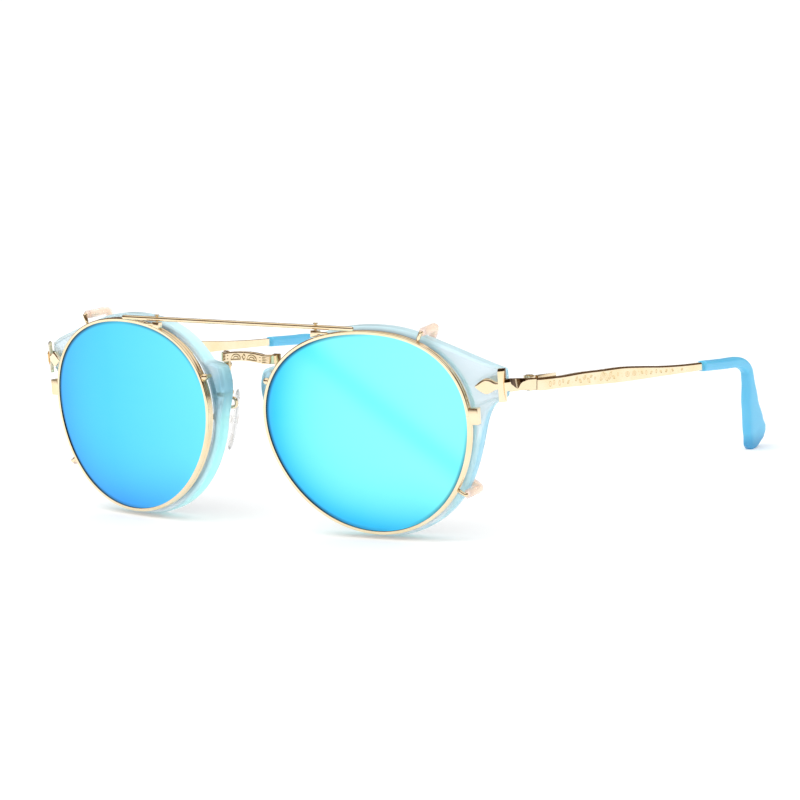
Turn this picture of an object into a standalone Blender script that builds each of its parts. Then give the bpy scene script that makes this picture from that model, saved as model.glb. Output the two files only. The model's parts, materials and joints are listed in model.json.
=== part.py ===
"""Sunglasses with a removable clip.

Two clear plastic rims sit on a metal bridge, with thin metal temples that end in soft tips. A wire
clip holds two mirrored lenses in front of them.

Units are metres. The glasses are drawn as worn: +X to the wearer's left, +Y back towards the ears and
+Z up, with the zero point midway between the lens centres. One side is drawn, and mirrored for the
other. At the end the whole pair is set down on its rims and tips, and centred over its footprint.
"""

import math

import bmesh
import bpy
from mathutils import Matrix, Vector

# Overall sizes
LENS_SPACING = 0.0695
LENS_HALF_WIDTH = 0.0252
LENS_HALF_HEIGHT = 0.02305
WRAP_ANGLE = math.radians(7.8)
PANTOSCOPIC_ANGLE = math.radians(6.0)
TEMPLE_LENGTH = 0.0971
TIP_DROP = 0.0222
TEMPLE_SLOPE = math.radians(1.4)

# Shape of the eye outline: shares of the radius added by its waves
SINE_2_SHARE = -0.013
SINE_3_SHARE = 0.031
COSINE_3_SHARE = -0.011
COSINE_4_SHARE = -0.009

# Clearances
SEAT_GAP = 0.0003
FINE_GAP = 0.0002
OVERRUN = 0.0005

# Clip rim and its mirrored lens; the setback is how far behind the zero point the clip's front stands
EYE_SETBACK = 0.0012
CLIP_RIM_WIDTH = 0.0008
CLIP_RIM_DEPTH = 0.0018
CLIP_LIP = 0.0002
CLIP_GROOVE = 0.0004
CLIP_BEAD_GROOVE = 0.00012
CLIP_LENS_THICKNESS = 0.0009

# Plastic front
FRONT_DEPTH = 0.0021
FRONT_THICKNESS = 0.0040
RIM_MARGIN = 0.0019
TOP_MARGIN_SHARE = 0.75
OUTER_MARGIN_SHARE = 0.9
RIM_CHAMFER = 0.0006
APERTURE_INSET = 0.0005
LENS_GROOVE = 0.0009
LENS_THICKNESS = 0.0016
LENS_BULGE = 0.0009

# Swelling of the plastic beside the nose, under the bridge
NOSE_SWELL = 0.0033
SWELL_START = math.radians(147)
SWELL_PEAK = math.radians(155)
SWELL_END = math.radians(182)
TOP_ANGLE = math.radians(80)
OUTER_ANGLE = math.radians(322)

# Lug at the outer top corner, that carries the hinge
LUG_REACH = 0.0076
LUG_TOP = 0.0143
LUG_BOTTOM = 0.0073
LUG_CORNER = 0.0009
LUG_UPPER_ANGLE = math.radians(62)
LUG_LOWER_ANGLE = math.radians(-24)
LUG_FRONT_SWEEP = 0.0022
LUG_BACK_SWEEP = 0.0008
LUG_EVEN_SHARE = 0.25

# Corner plate: leaf, upright bar and the arm that turns back to the hinge
PLATE_THICKNESS = 0.0010
PLATE_HEIGHT = 0.0106
LEAF_LENGTH = 0.0050
LEAF_HALF_HEIGHT = 0.00175
BAR_WIDTH = 0.0013
BAR_HALF_HEIGHT = 0.0038
ARM_HALF_HEIGHT = 0.00135
ARM_LENGTH = 0.0117
ARM_FALL = 0.00076
CORNER_RADIUS = 0.0008

# Hinge
HINGE_SETBACK = 0.0011
KNUCKLE_RADIUS = 0.0014
KNUCKLE_STACK = 0.0033
LEAF_PLATE = 0.0008
PLATE_HALF_HEIGHT = 0.0012
REAR_LEAF_LENGTH = 0.0078
PIN_RADIUS = 0.0006
PIN_HEAD_RADIUS = 0.0010
PIN_HEAD_HEIGHT = 0.0004
FOOT_WIDTH = 0.0042
FOOT_HALF_HEIGHT = 0.0016
RIVET_RADIUS = 0.0005
RIVET_HEAD_RADIUS = 0.0009
RIVET_LENGTH = 0.0020

# Temple
TEMPLE_THICKNESS = 0.0013
TEMPLE_HEIGHT = 0.0036
CORE_RADIUS = 0.0006
SLEEVE_START_SHARE = 0.792
SLEEVE_HALF_HEIGHT = 0.0014
SLEEVE_HALF_THICKNESS = 0.0014
TIP_TOE_IN = 0.0020

# Bridge and its back plates
BRIDGE_HEIGHT = 0.0153
BRIDGE_ARCH = 0.0005
BRIDGE_DEPTH = 0.0001
BAND_HALF_HEIGHT = 0.0011
BAND_HALF_THICKNESS = 0.0006
BAND_TURN = 0.0016
MOUNT_HALF_WIDTH = 0.0012
MOUNT_THICKNESS = 0.0007
MOUNT_TOP = 0.0158
MOUNT_BOTTOM = 0.0046
SCREW_RADIUS = 0.0005
SCREW_HEAD_RADIUS = 0.0008
SCREW_HEAD_HEIGHT = 0.0004
SCREW_DEPTH = 0.0022

# Nose pads and their arms
PAD_HALF_HEIGHT = 0.0073
PAD_HALF_WIDTH = 0.0039
PAD_HALF_THICKNESS = 0.0011
PAD_PLACE = Vector((0.0104, 0.0089, -0.0010))
PAD_FACING = math.radians(136)
PAD_LEAN = math.radians(-9)
PAD_WIRE_RADIUS = 0.0004
BOSS_HALF = 0.0008
CHEEK_THICKNESS = 0.0005
BOSS_LENGTH = 0.0016
PAD_PIN_RADIUS = 0.00035

# Clip: closing block, top bar, claws and nose pegs
TAB_ANGLE = math.radians(10)
TAB_WIDTH = 0.0028
TAB_HALF_HEIGHT = 0.0019
TAB_PIN_RADIUS = 0.0004
TAB_PIN_HEAD_RADIUS = 0.0007
BAR_RADIUS = 0.00055
BAR_RISE = 0.0233
BAR_HALF_LENGTH = 0.0338
BLOCK_ANGLE = math.radians(117)
BLOCK_HALF_WIDTH = 0.0010
BLOCK_HALF_DEPTH = 0.0010
BLOCK_PIN_RADIUS = 0.0004
BLOCK_PIN_HEAD_RADIUS = 0.0006
BLOCK_PIN_HEAD_HEIGHT = 0.00025
STRIP_LENGTH = 0.0034
STRIP_HALF_HEIGHT = 0.00025
STRIP_HALF_DEPTH = 0.00045
STRIP_FORWARD = 0.0004
UPPER_CLAW_ANGLE = math.radians(58)
LOWER_CLAW_ANGLE = math.radians(-33.5)
CLAW_RADIUS = 0.00045
CLAW_SLEEVE_WALL = 0.00055
CLAW_GRIP = 0.0012
PEG_ANGLE = math.radians(156)
PEG_RADIUS = 0.0005
PEG_HEAD_RADIUS = 0.0008

# How finely round things are drawn
DERIVATIVE_STEP = 0.001
FREE_STATIONS = 44
LUG_STATIONS = 7
CLIP_STATIONS = 52
ROUND_SIDES = 16
WIRE_SIDES = 8
SMOOTH_ANGLE = math.radians(35)

UP = Vector((0, 0, 1))
OUT = Vector((1, 0, 0))
BACK = Vector((0, 1, 0))

EYE_CENTRE = Vector((LENS_SPACING / 2, EYE_SETBACK, 0))
EYE_OUT = Vector(
    (
        math.cos(WRAP_ANGLE),
        math.sin(WRAP_ANGLE) * math.cos(PANTOSCOPIC_ANGLE),
        math.sin(WRAP_ANGLE) * math.sin(PANTOSCOPIC_ANGLE),
    )
)
EYE_UP = Vector((0, -math.sin(PANTOSCOPIC_ANGLE), math.cos(PANTOSCOPIC_ANGLE)))
EYE_BACK = EYE_UP.cross(EYE_OUT)

LUG_END = LENS_HALF_WIDTH + LUG_REACH
FRONT_BACK = FRONT_DEPTH + FRONT_THICKNESS
MOUNT_BACK = FRONT_BACK + SEAT_GAP + MOUNT_THICKNESS


def clear_scene():
    for thing in list(bpy.data.objects):
        bpy.data.objects.remove(thing, do_unlink=True)


def material(name, colour, roughness, metallic=0.0, transmission=0.0):
    made = bpy.data.materials.new(name)
    made.use_nodes = True
    shader = made.node_tree.nodes["Principled BSDF"]
    shader.inputs["Base Color"].default_value = (*colour, 1)
    shader.inputs["Roughness"].default_value = roughness
    shader.inputs["Metallic"].default_value = metallic
    shader.inputs["Transmission Weight"].default_value = transmission
    return made


def make_materials():
    return {
        "gold": material("champagne_gold", (0.86, 0.70, 0.47), 0.22, metallic=1.0),
        "plastic": material("aqua_plastic", (0.66, 0.86, 0.92), 0.25, transmission=0.6),
        "clear": material("clear_lens", (0.95, 0.97, 0.98), 0.05, transmission=0.95),
        "mirror": material("aqua_mirror", (0.10, 0.72, 0.95), 0.05, metallic=0.9),
        "soft": material("sky_blue_rubber", (0.18, 0.52, 0.84), 0.5),
        "silicone": material("silicone", (0.93, 0.93, 0.92), 0.35, transmission=0.5),
        "vinyl": material("vinyl", (0.93, 0.86, 0.80), 0.3, transmission=0.4),
    }


def empty(name, place, parent=None):
    made = bpy.data.objects.new(name, None)
    made.location = place
    made.parent = parent
    bpy.context.collection.objects.link(made)
    return made


def solid(name, shape, side, parent, surface=None):
    """An object of a bmesh drawn for the left side, which side -1 mirrors; it moves with its parent."""
    if side < 0:
        bmesh.ops.scale(shape, vec=(-1, 1, 1), verts=shape.verts)
    bmesh.ops.recalc_face_normals(shape, faces=shape.faces)
    mesh = bpy.data.meshes.new(name)
    shape.to_mesh(mesh)
    shape.free()
    mesh.shade_smooth()
    mesh.set_sharp_from_angle(angle=SMOOTH_ANGLE)
    if surface:
        mesh.materials.append(surface)
    made = bpy.data.objects.new(name, mesh)
    made.parent = parent
    if parent.parent:
        made.location = -parent.location
    bpy.context.collection.objects.link(made)
    return made


def cut(target, cutter):
    cutter.hide_render = True
    cutter.display_type = "WIRE"
    modifier = target.modifiers.new("cut", "BOOLEAN")
    modifier.operation = "DIFFERENCE"
    modifier.solver = "EXACT"
    modifier.object = cutter
    modifier.use_self = True


def weld_on(target, addition):
    addition.hide_render = True
    addition.display_type = "WIRE"
    modifier = target.modifiers.new("weld", "BOOLEAN")
    modifier.operation = "UNION"
    modifier.solver = "EXACT"
    modifier.object = addition


def loft(sections, ring=False):
    """A skin over sections of equally many points, capped at its ends unless it closes on itself."""
    shape = bmesh.new()
    rows = [[shape.verts.new(point) for point in section] for section in sections]
    following = rows[1:] + rows[:1] if ring else rows[1:]
    for row, after in zip(rows, following):
        for i, corner in enumerate(row):
            j = (i + 1) % len(row)
            shape.faces.new((corner, row[j], after[j], after[i]))
    if not ring:
        shape.faces.new(rows[0])
        shape.faces.new(rows[-1])
    return shape


def oval(centre, across, up, half_width, half_height, sides=WIRE_SIDES, squareness=1.0):
    """One section: an ellipse, or nearly a rectangle with cut corners where squareness is well under 1."""
    points = []
    for k in range(sides):
        turn = 2 * math.pi * (k + 0.5) / sides
        x = math.copysign(abs(math.cos(turn)) ** squareness, math.cos(turn))
        y = math.copysign(abs(math.sin(turn)) ** squareness, math.sin(turn))
        points.append(centre + across * (half_width * x) + up * (half_height * y))
    return points


def rod(start, end, steps, sides=ROUND_SIDES):
    """A turned piece between two points: steps are (distance from start, radius)."""
    axis = (end - start).normalized()
    across = axis.orthogonal().normalized()
    up = axis.cross(across)
    return loft([oval(start + axis * along, across, up, radius, radius, sides) for along, radius in steps])


def direction(points, i):
    """The way a route of points runs at its point i."""
    before = points[max(i - 1, 0)]
    after = points[min(i + 1, len(points) - 1)]
    return (after - before).normalized()


def tube(points, radii, sides=WIRE_SIDES):
    """A wire along points, its sections turned as little as they can be from one to the next."""
    across = (points[1] - points[0]).orthogonal().normalized()
    sections = []
    for i, point in enumerate(points):
        tangent = direction(points, i)
        across = (across - tangent * across.dot(tangent)).normalized()
        sections.append(oval(point, across, tangent.cross(across), radii[i], radii[i], sides))
    return loft(sections)


def box(centre, sizes, axes=(OUT, BACK, UP)):
    x, y, z = (axis * (size / 2) for axis, size in zip(axes, sizes))
    corners = (-x - y, x - y, x + y, y - x)
    return loft([[centre + z * end + corner for corner in corners] for end in (-1, 1)])


def bezier(start, pull_start, pull_end, end, count):
    """Points of a cubic curve, both ends included."""
    points = []
    for k in range(count):
        t = k / (count - 1)
        s = 1 - t
        pulled = pull_start * (3 * s * s * t) + pull_end * (3 * s * t * t)
        points.append(start * s**3 + pulled + end * t**3)
    return points


def smooth_route(points, steps):
    """A curve through points, with the given number of steps between each two."""
    ends = [points[0] * 2 - points[1], *points, points[-1] * 2 - points[-2]]
    route = []
    for a, b, c, d in zip(ends, ends[1:], ends[2:], ends[3:]):
        for k in range(steps):
            t = k / steps
            route.append(
                b
                + (c - a) * (t / 2)
                + (a * 2 - b * 5 + c * 4 - d) * (t * t / 2)
                + (b * 3 - a - c * 3 + d) * (t**3 / 2)
            )
    return [*route, points[-1]]


def eye_point(u, v, depth):
    """A point of the left eye: u outwards, v up from the lens centre, depth back from the clip's front."""
    return EYE_CENTRE + EYE_OUT * u + EYE_UP * v + EYE_BACK * depth


def lens_edge(angle):
    radius = (
        1
        + SINE_2_SHARE * math.sin(2 * angle)
        + SINE_3_SHARE * math.sin(3 * angle)
        + COSINE_3_SHARE * math.cos(3 * angle)
        + COSINE_4_SHARE * math.cos(4 * angle)
    )
    across = LENS_HALF_WIDTH * radius * math.cos(angle)
    rise = LENS_HALF_HEIGHT * radius * math.sin(angle)
    return Vector((across, rise))


def edge_normal(angle):
    along = (lens_edge(angle + DERIVATIVE_STEP) - lens_edge(angle - DERIVATIVE_STEP)).normalized()
    return Vector((along.y, -along.x))


def outline(angle, offset):
    """The eye outline moved outwards by offset, as (u, v)."""
    return lens_edge(angle) + edge_normal(angle) * offset


def ease(share):
    share = min(max(share, 0), 1)
    return share * share * (3 - 2 * share)


def rim_margin(angle):
    """How far the plastic reaches past the lens outline, with its swelling beside the nose."""
    turn = angle % (2 * math.pi)
    rise = ease((turn - SWELL_START) / (SWELL_PEAK - SWELL_START))
    fall = 1 - ease((turn - SWELL_PEAK) / (SWELL_END - SWELL_PEAK))
    top = math.cos(turn - TOP_ANGLE)
    outer = math.cos(turn - OUTER_ANGLE)
    thinning = (1 - TOP_MARGIN_SHARE) * ease(1.5 * top) + (1 - OUTER_MARGIN_SHARE) * ease(2.2 * outer - 1)
    return RIM_MARGIN * (1 - thinning) + NOSE_SWELL * rise * fall


def lug_share(u):
    start = LENS_HALF_WIDTH
    return max(u - start, 0) ** 2 / (LUG_END - start) ** 2


def front_face(u):
    return FRONT_DEPTH + LUG_FRONT_SWEEP * lug_share(u)


def back_face(u):
    return FRONT_BACK + LUG_BACK_SWEEP * lug_share(u)


def lug_outline():
    """The lug's edge from the rim below it, round its two corners, to the rim above it."""
    low = outline(LUG_LOWER_ANGLE, rim_margin(LUG_LOWER_ANGLE))
    high = outline(LUG_UPPER_ANGLE, rim_margin(LUG_UPPER_ANGLE))
    low_normal = edge_normal(LUG_LOWER_ANGLE)
    high_normal = edge_normal(LUG_UPPER_ANGLE)
    low_along = Vector((-low_normal.y, low_normal.x))
    high_along = Vector((high_normal.y, -high_normal.x))
    low_corner = Vector((LUG_END - LUG_CORNER, LUG_BOTTOM))
    high_corner = Vector((LUG_END - LUG_CORNER, LUG_TOP))
    reach = (low_corner - low).length
    rise = (high_corner - high).length
    lower = bezier(
        low,
        low + low_along * (reach * 0.55),
        low_corner - Vector((0.9, 0.42)) * (reach * 0.3),
        low_corner,
        LUG_STATIONS + 1,
    )
    upper = bezier(
        high_corner,
        high_corner + Vector((-0.92, 0.38)) * (rise * 0.35),
        high + high_along * (rise * 0.35),
        high,
        LUG_STATIONS + 1,
    )
    end = []
    for corner, side, turns in ((low_corner, 1, (-60, -30, 0)), (high_corner, -1, (0, 30, 60))):
        pivot = corner + Vector((0, LUG_CORNER * side))
        for turn in turns:
            a = math.radians(turn)
            end.append(pivot + Vector((math.cos(a), math.sin(a))) * LUG_CORNER)
    return [*lower, *end, *upper]


def front_stations():
    """For each station an angle on the opening, a point (u, v) of the outer edge and its way inwards."""
    lug = lug_outline()
    span = LUG_UPPER_ANGLE - LUG_LOWER_ANGLE
    pairs = []
    for k, point in enumerate(lug):
        even = LUG_LOWER_ANGLE + span * k / (len(lug) - 1)
        facing = math.atan2(point.y / LENS_HALF_HEIGHT, point.x / LENS_HALF_WIDTH)
        pairs.append((facing + (even - facing) * LUG_EVEN_SHARE, point))
    stretch_shares = (
        (LUG_UPPER_ANGLE, SWELL_START, 0.32),
        (SWELL_START, SWELL_PEAK, 0.08),
        (SWELL_PEAK, SWELL_END, 0.12),
        (SWELL_END, LUG_LOWER_ANGLE + 2 * math.pi, 0.48),
    )
    for start, end, share in stretch_shares:
        count = round(FREE_STATIONS * share)
        angles = [start + (end - start) * (k + 1) / count for k in range(count)]
        pairs += [(angle, outline(angle, rim_margin(angle))) for angle in angles]
    pairs.pop()
    stations = []
    for i, (angle, outer) in enumerate(pairs):
        along = (pairs[(i + 1) % len(pairs)][1] - pairs[i - 1][1]).normalized()
        stations.append((angle, outer, Vector((-along.y, along.x))))
    return stations


def front_section(angle, outer, inward):
    """The plastic's section at one station, from the groove for the lens round to the front."""
    inner = outline(angle, -APERTURE_INSET)
    eased = outer + inward * RIM_CHAMFER
    entry = inner + edge_normal(angle) * RIM_CHAMFER
    groove = outline(angle, LENS_GROOVE - APERTURE_INSET)
    middle = FRONT_DEPTH + FRONT_THICKNESS / 2
    half_groove = LENS_THICKNESS / 2 + FINE_GAP
    front = front_face(outer.x)
    back = back_face(outer.x)
    corners = (
        (inner, FRONT_DEPTH + RIM_CHAMFER),
        (inner, middle - half_groove),
        (groove, middle - half_groove),
        (groove, middle + half_groove),
        (inner, middle + half_groove),
        (inner, FRONT_BACK - RIM_CHAMFER),
        (entry, FRONT_BACK),
        (eased, back),
        (outer, back - RIM_CHAMFER),
        (outer, front + RIM_CHAMFER),
        (eased, front),
        (entry, FRONT_DEPTH),
    )
    return [eye_point(place.x, place.y, depth) for place, depth in corners]


def lens_body(edge_offset, front, thickness, bulge, stations):
    """A lens with the eye's outline: its faces swell forwards by bulge at the centre."""
    angles = [2 * math.pi * k / stations for k in range(stations)]
    shape = bmesh.new()
    middle_share = 0.6
    rings = []
    for share, depth in (
        (middle_share, front - bulge * (1 - middle_share**2)),
        (1, front),
        (1, front + thickness),
        (middle_share, front + thickness - bulge * (1 - middle_share**2)),
    ):
        ring = [outline(angle, edge_offset) * share for angle in angles]
        rings.append([shape.verts.new(eye_point(p.x, p.y, depth)) for p in ring])
    for ring, after in zip(rings, rings[1:]):
        for i in range(stations):
            j = (i + 1) % stations
            shape.faces.new((ring[i], ring[j], after[j], after[i]))
    for ring, depth in ((rings[0], front - bulge), (rings[-1], front + thickness - bulge)):
        centre = shape.verts.new(eye_point(0, 0, depth))
        for i in range(stations):
            shape.faces.new((ring[i], ring[(i + 1) % stations], centre))
    return shape


def side_name(base, side):
    return f"{base}_{'left' if side > 0 else 'right'}"


def screw_hole(target, name, start, end, radius, side, parent):
    """Bores a round hole through target, from start to end."""
    length = (end - start).length
    cutter = solid(name, rod(start, end, ((0, radius), (length, radius))), side, parent)
    cut(target, cutter)


def build_front(side, root, surfaces):
    sections = [front_section(*station) for station in front_stations()]
    rim = solid(side_name("front_rim", side), loft(sections, ring=True), side, root, surfaces["plastic"])
    edge = LENS_GROOVE - APERTURE_INSET - SEAT_GAP
    front = FRONT_DEPTH + (FRONT_THICKNESS - LENS_THICKNESS) / 2
    lens = lens_body(edge, front, LENS_THICKNESS, LENS_BULGE, CLIP_STATIONS)
    solid(side_name("clear_lens", side), lens, side, root, surfaces["clear"])
    return rim


def temple_plane():
    """The x of the temple's middle, worked out from the lug that the corner plate turns round."""
    lug = eye_point(LUG_END, PLATE_HEIGHT, front_face(LUG_END))
    return lug.x + SEAT_GAP + PLATE_THICKNESS / 2 - TEMPLE_THICKNESS / 2


def butt_place():
    """Where the corner plate's arm ends and the temple begins, on the temple's middle line."""
    lug = eye_point(LUG_END, PLATE_HEIGHT, front_face(LUG_END))
    return Vector((temple_plane(), lug.y + ARM_LENGTH, lug.z - ARM_FALL))


def hinge_place():
    butt = butt_place()
    inside = butt.x - TEMPLE_THICKNESS / 2 - FINE_GAP / 2 - KNUCKLE_RADIUS
    return Vector((inside, butt.y + SEAT_GAP + HINGE_SETBACK, butt.z))


def build_corner_plate(side, root, surfaces):
    """One bent strip: a leaf, an upright bar on the lug's front and an arm back to the hinge."""
    half = PLATE_THICKNESS / 2
    bar_end = LUG_END + SEAT_GAP
    bar_start = bar_end - BAR_WIDTH
    leaf_start = bar_start - LEAF_LENGTH
    leaf_shares = ((0, 0.12), (0.2, 0.6), (0.45, 1), (0.65, 0.9), (0.85, 0.55), (1, 0.48))
    heights = []
    for place, height in leaf_shares:
        heights.append((leaf_start + LEAF_LENGTH * place, LEAF_HALF_HEIGHT * height))
    step = BAR_WIDTH * 0.02
    heights += [(bar_start + step, BAR_HALF_HEIGHT), (bar_end - step, BAR_HALF_HEIGHT)]
    sections = []
    for u, half_height in heights:
        centre = eye_point(u, PLATE_HEIGHT, front_face(u) - SEAT_GAP - half)
        sections.append(oval(centre, EYE_BACK, EYE_UP, half, half_height, squareness=0.4))
    pivot_depth = front_face(LUG_END) - SEAT_GAP - half + CORNER_RADIUS
    for turn in (0, 30, 60, 90):
        a = math.radians(turn)
        u = bar_end + half * math.sin(a)
        depth = pivot_depth - CORNER_RADIUS * math.cos(a)
        across = EYE_BACK * math.cos(a) - EYE_OUT * math.sin(a)
        centre = eye_point(u, PLATE_HEIGHT, depth)
        sections.append(oval(centre, across, EYE_UP, half, ARM_HALF_HEIGHT, squareness=0.4))
    butt = butt_place()
    outside = eye_point(LUG_END, PLATE_HEIGHT, back_face(LUG_END))
    for share, thick in ((0.45, half), (0.75, TEMPLE_THICKNESS / 2), (1, TEMPLE_THICKNESS / 2)):
        y = outside.y + (butt.y - outside.y) * (share - 0.45) / 0.55
        x = max(butt.x, outside.x + SEAT_GAP + half) if share < 0.5 else butt.x
        z = butt.z + ARM_FALL * (1 - share)
        sections.append(oval(Vector((x, y, z)), -OUT, UP, thick, ARM_HALF_HEIGHT, squareness=0.4))
    solid(side_name("corner_plate", side), loft(sections), side, root, surfaces["gold"])


def knuckle_levels():
    """The bottom and top of the three knuckles, from the lowest."""
    height = (KNUCKLE_STACK - 2 * FINE_GAP) / 3
    bottom = hinge_place().z - KNUCKLE_STACK / 2
    return [(bottom + k * (height + FINE_GAP), bottom + k * (height + FINE_GAP) + height) for k in range(3)]


def knuckle(low, high):
    axis = hinge_place()
    start = Vector((axis.x, axis.y, low))
    return rod(start, start + UP, ((0, KNUCKLE_RADIUS), (high - low, KNUCKLE_RADIUS)))


def box_between(low, high):
    return box((low + high) / 2, high - low)


def hinge_leaf(name, side, parent, surface, shapes):
    """A leaf whose plate, webs and knuckles become one body when the pin's bore is cut through them."""
    axis = hinge_place()
    leaf = solid(name, shapes[0], side, parent, surface)
    for k, shape in enumerate(shapes[1:]):
        weld_on(leaf, solid(f"{name}_shape_{k + 1}", shape, side, parent))
    low = axis - UP * (KNUCKLE_STACK / 2 + OVERRUN)
    high = axis + UP * (KNUCKLE_STACK / 2 + OVERRUN)
    screw_hole(leaf, f"{name}_bore", low, high, PIN_RADIUS + FINE_GAP, side, parent)
    return leaf


def build_front_hinge(side, root, rim, surfaces):
    """The leaf behind the arm: a foot riveted to the lug, a plate along the arm and two knuckles."""
    axis = hinge_place()
    butt = butt_place()
    levels = knuckle_levels()
    inside = butt.x - TEMPLE_THICKNESS / 2 - FINE_GAP
    lug_back = eye_point(LUG_END, PLATE_HEIGHT, back_face(LUG_END))
    start = lug_back.y + SEAT_GAP
    plate_end = axis.y - KNUCKLE_RADIUS - FINE_GAP
    low = Vector((inside - LEAF_PLATE, start, axis.z - PLATE_HALF_HEIGHT))
    shapes = [box_between(low, Vector((inside, plate_end, axis.z + PLATE_HALF_HEIGHT)))]
    for bottom, top in (levels[0], levels[2]):
        web_start = Vector((inside - LEAF_PLATE, plate_end - FINE_GAP, bottom))
        shapes.append(box_between(web_start, Vector((inside, axis.y, top))))
        shapes.append(knuckle(bottom, top))
    foot_u = LUG_END - FOOT_WIDTH / 2 - PLATE_THICKNESS
    depth = back_face(LUG_END) + SEAT_GAP + LEAF_PLATE / 2
    foot_sizes = (FOOT_WIDTH, LEAF_PLATE, 2 * FOOT_HALF_HEIGHT)
    foot = eye_point(foot_u, PLATE_HEIGHT, depth)
    shapes.append(box(foot, foot_sizes, (EYE_OUT, EYE_BACK, EYE_UP)))
    leaf = hinge_leaf(side_name("hinge_front_leaf", side), side, root, surfaces["gold"], shapes)
    rivet_u = foot_u - FOOT_WIDTH * 0.2
    back = depth + LEAF_PLATE / 2 + FINE_GAP / 2
    length = RIVET_LENGTH + LEAF_PLATE + SEAT_GAP
    head = eye_point(rivet_u, PLATE_HEIGHT, back + RIVET_HEAD_RADIUS / 2)
    point = eye_point(rivet_u, PLATE_HEIGHT, back - length)
    thick = RIVET_HEAD_RADIUS / 2
    steps = (
        (0, RIVET_HEAD_RADIUS * 0.6),
        (thick, RIVET_HEAD_RADIUS),
        (thick * 1.01, RIVET_RADIUS),
        (thick + length, RIVET_RADIUS),
    )
    solid(side_name("hinge_rivet", side), rod(head, point, steps), side, root, surfaces["gold"])
    hole_end = eye_point(rivet_u, PLATE_HEIGHT, back - length - SEAT_GAP)
    for target, word in ((rim, "rim"), (leaf, "leaf")):
        name = side_name(f"hinge_rivet_hole_{word}", side)
        screw_hole(target, name, head, hole_end, RIVET_RADIUS + FINE_GAP, side, root)


def build_rear_hinge(side, pivot, surfaces):
    """The leaf on the temple, with the middle knuckle, and the screw that is the hinge's pin."""
    axis = hinge_place()
    butt = butt_place()
    low_level, high_level = knuckle_levels()[1]
    inside = butt.x - TEMPLE_THICKNESS / 2 - FINE_GAP
    levels = knuckle_levels()
    plate_start = axis.y + KNUCKLE_RADIUS + FINE_GAP
    plate_low = Vector((inside - LEAF_PLATE, plate_start, levels[0][0]))
    plate_high = Vector((inside, plate_start + REAR_LEAF_LENGTH, levels[2][1]))
    web_low = Vector((inside - LEAF_PLATE, axis.y, low_level))
    web_high = Vector((inside, plate_start + FINE_GAP, high_level))
    shapes = [box_between(plate_low, plate_high), box_between(web_low, web_high)]
    shapes.append(knuckle(low_level, high_level))
    hinge_leaf(side_name("hinge_rear_leaf", side), side, pivot, surfaces["gold"], shapes)
    top = axis + UP * (KNUCKLE_STACK / 2 + FINE_GAP + PIN_HEAD_HEIGHT)
    bottom = axis - UP * (KNUCKLE_STACK / 2)
    length = (top - bottom).length
    steps = (
        (0, PIN_HEAD_RADIUS * 0.75),
        (PIN_HEAD_HEIGHT * 0.4, PIN_HEAD_RADIUS),
        (PIN_HEAD_HEIGHT, PIN_HEAD_RADIUS),
        (PIN_HEAD_HEIGHT * 1.01, PIN_RADIUS),
        (length, PIN_RADIUS),
    )
    solid(side_name("hinge_screw", side), rod(top, bottom, steps), side, pivot, surfaces["gold"])


def temple_point(along, rise=0.0):
    """A point on the temple's middle line, along it from the butt and down its gentle slope."""
    butt = butt_place()
    return Vector((butt.x, butt.y + SEAT_GAP + along, butt.z - along * math.sin(TEMPLE_SLOPE) + rise))


def tip_route():
    """The middle line of the soft tip: straight on, round the bend and down behind the ear."""
    start = temple_point(TEMPLE_LENGTH * SLEEVE_START_SHARE)
    bend = temple_point(TEMPLE_LENGTH)
    drop_shares = (
        (0.11, -0.08, 0.0),
        (0.175, -0.225, 0.05),
        (0.29, -0.523, 0.3),
        (0.49, -0.85, 0.8),
        (0.52, -1.015, 1.0),
    )
    points = [start, start.lerp(bend, 0.5), bend.lerp(start, 0.1)]
    points += [bend + Vector((-TIP_TOE_IN * x, TIP_DROP * y, TIP_DROP * z)) for y, z, x in drop_shares]
    return smooth_route(points, 3)


def route_widths(count):
    """Half widths of the soft tip along its route, in the plane of its bend, and across it."""
    width_shares = (
        (0, 0.95),
        (0.42, 1.0),
        (0.6, 1.05),
        (0.72, 1.3),
        (0.82, 2.1),
        (0.89, 2.7),
        (0.95, 2.5),
        (1, 1.5),
    )
    widths = []
    for k in range(count):
        t = k / (count - 1)
        for (a, low), (b, high) in zip(width_shares, width_shares[1:]):
            if a <= t <= b:
                widths.append(SLEEVE_HALF_HEIGHT * (low + (high - low) * ease((t - a) / (b - a))))
                break
    return widths


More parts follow.
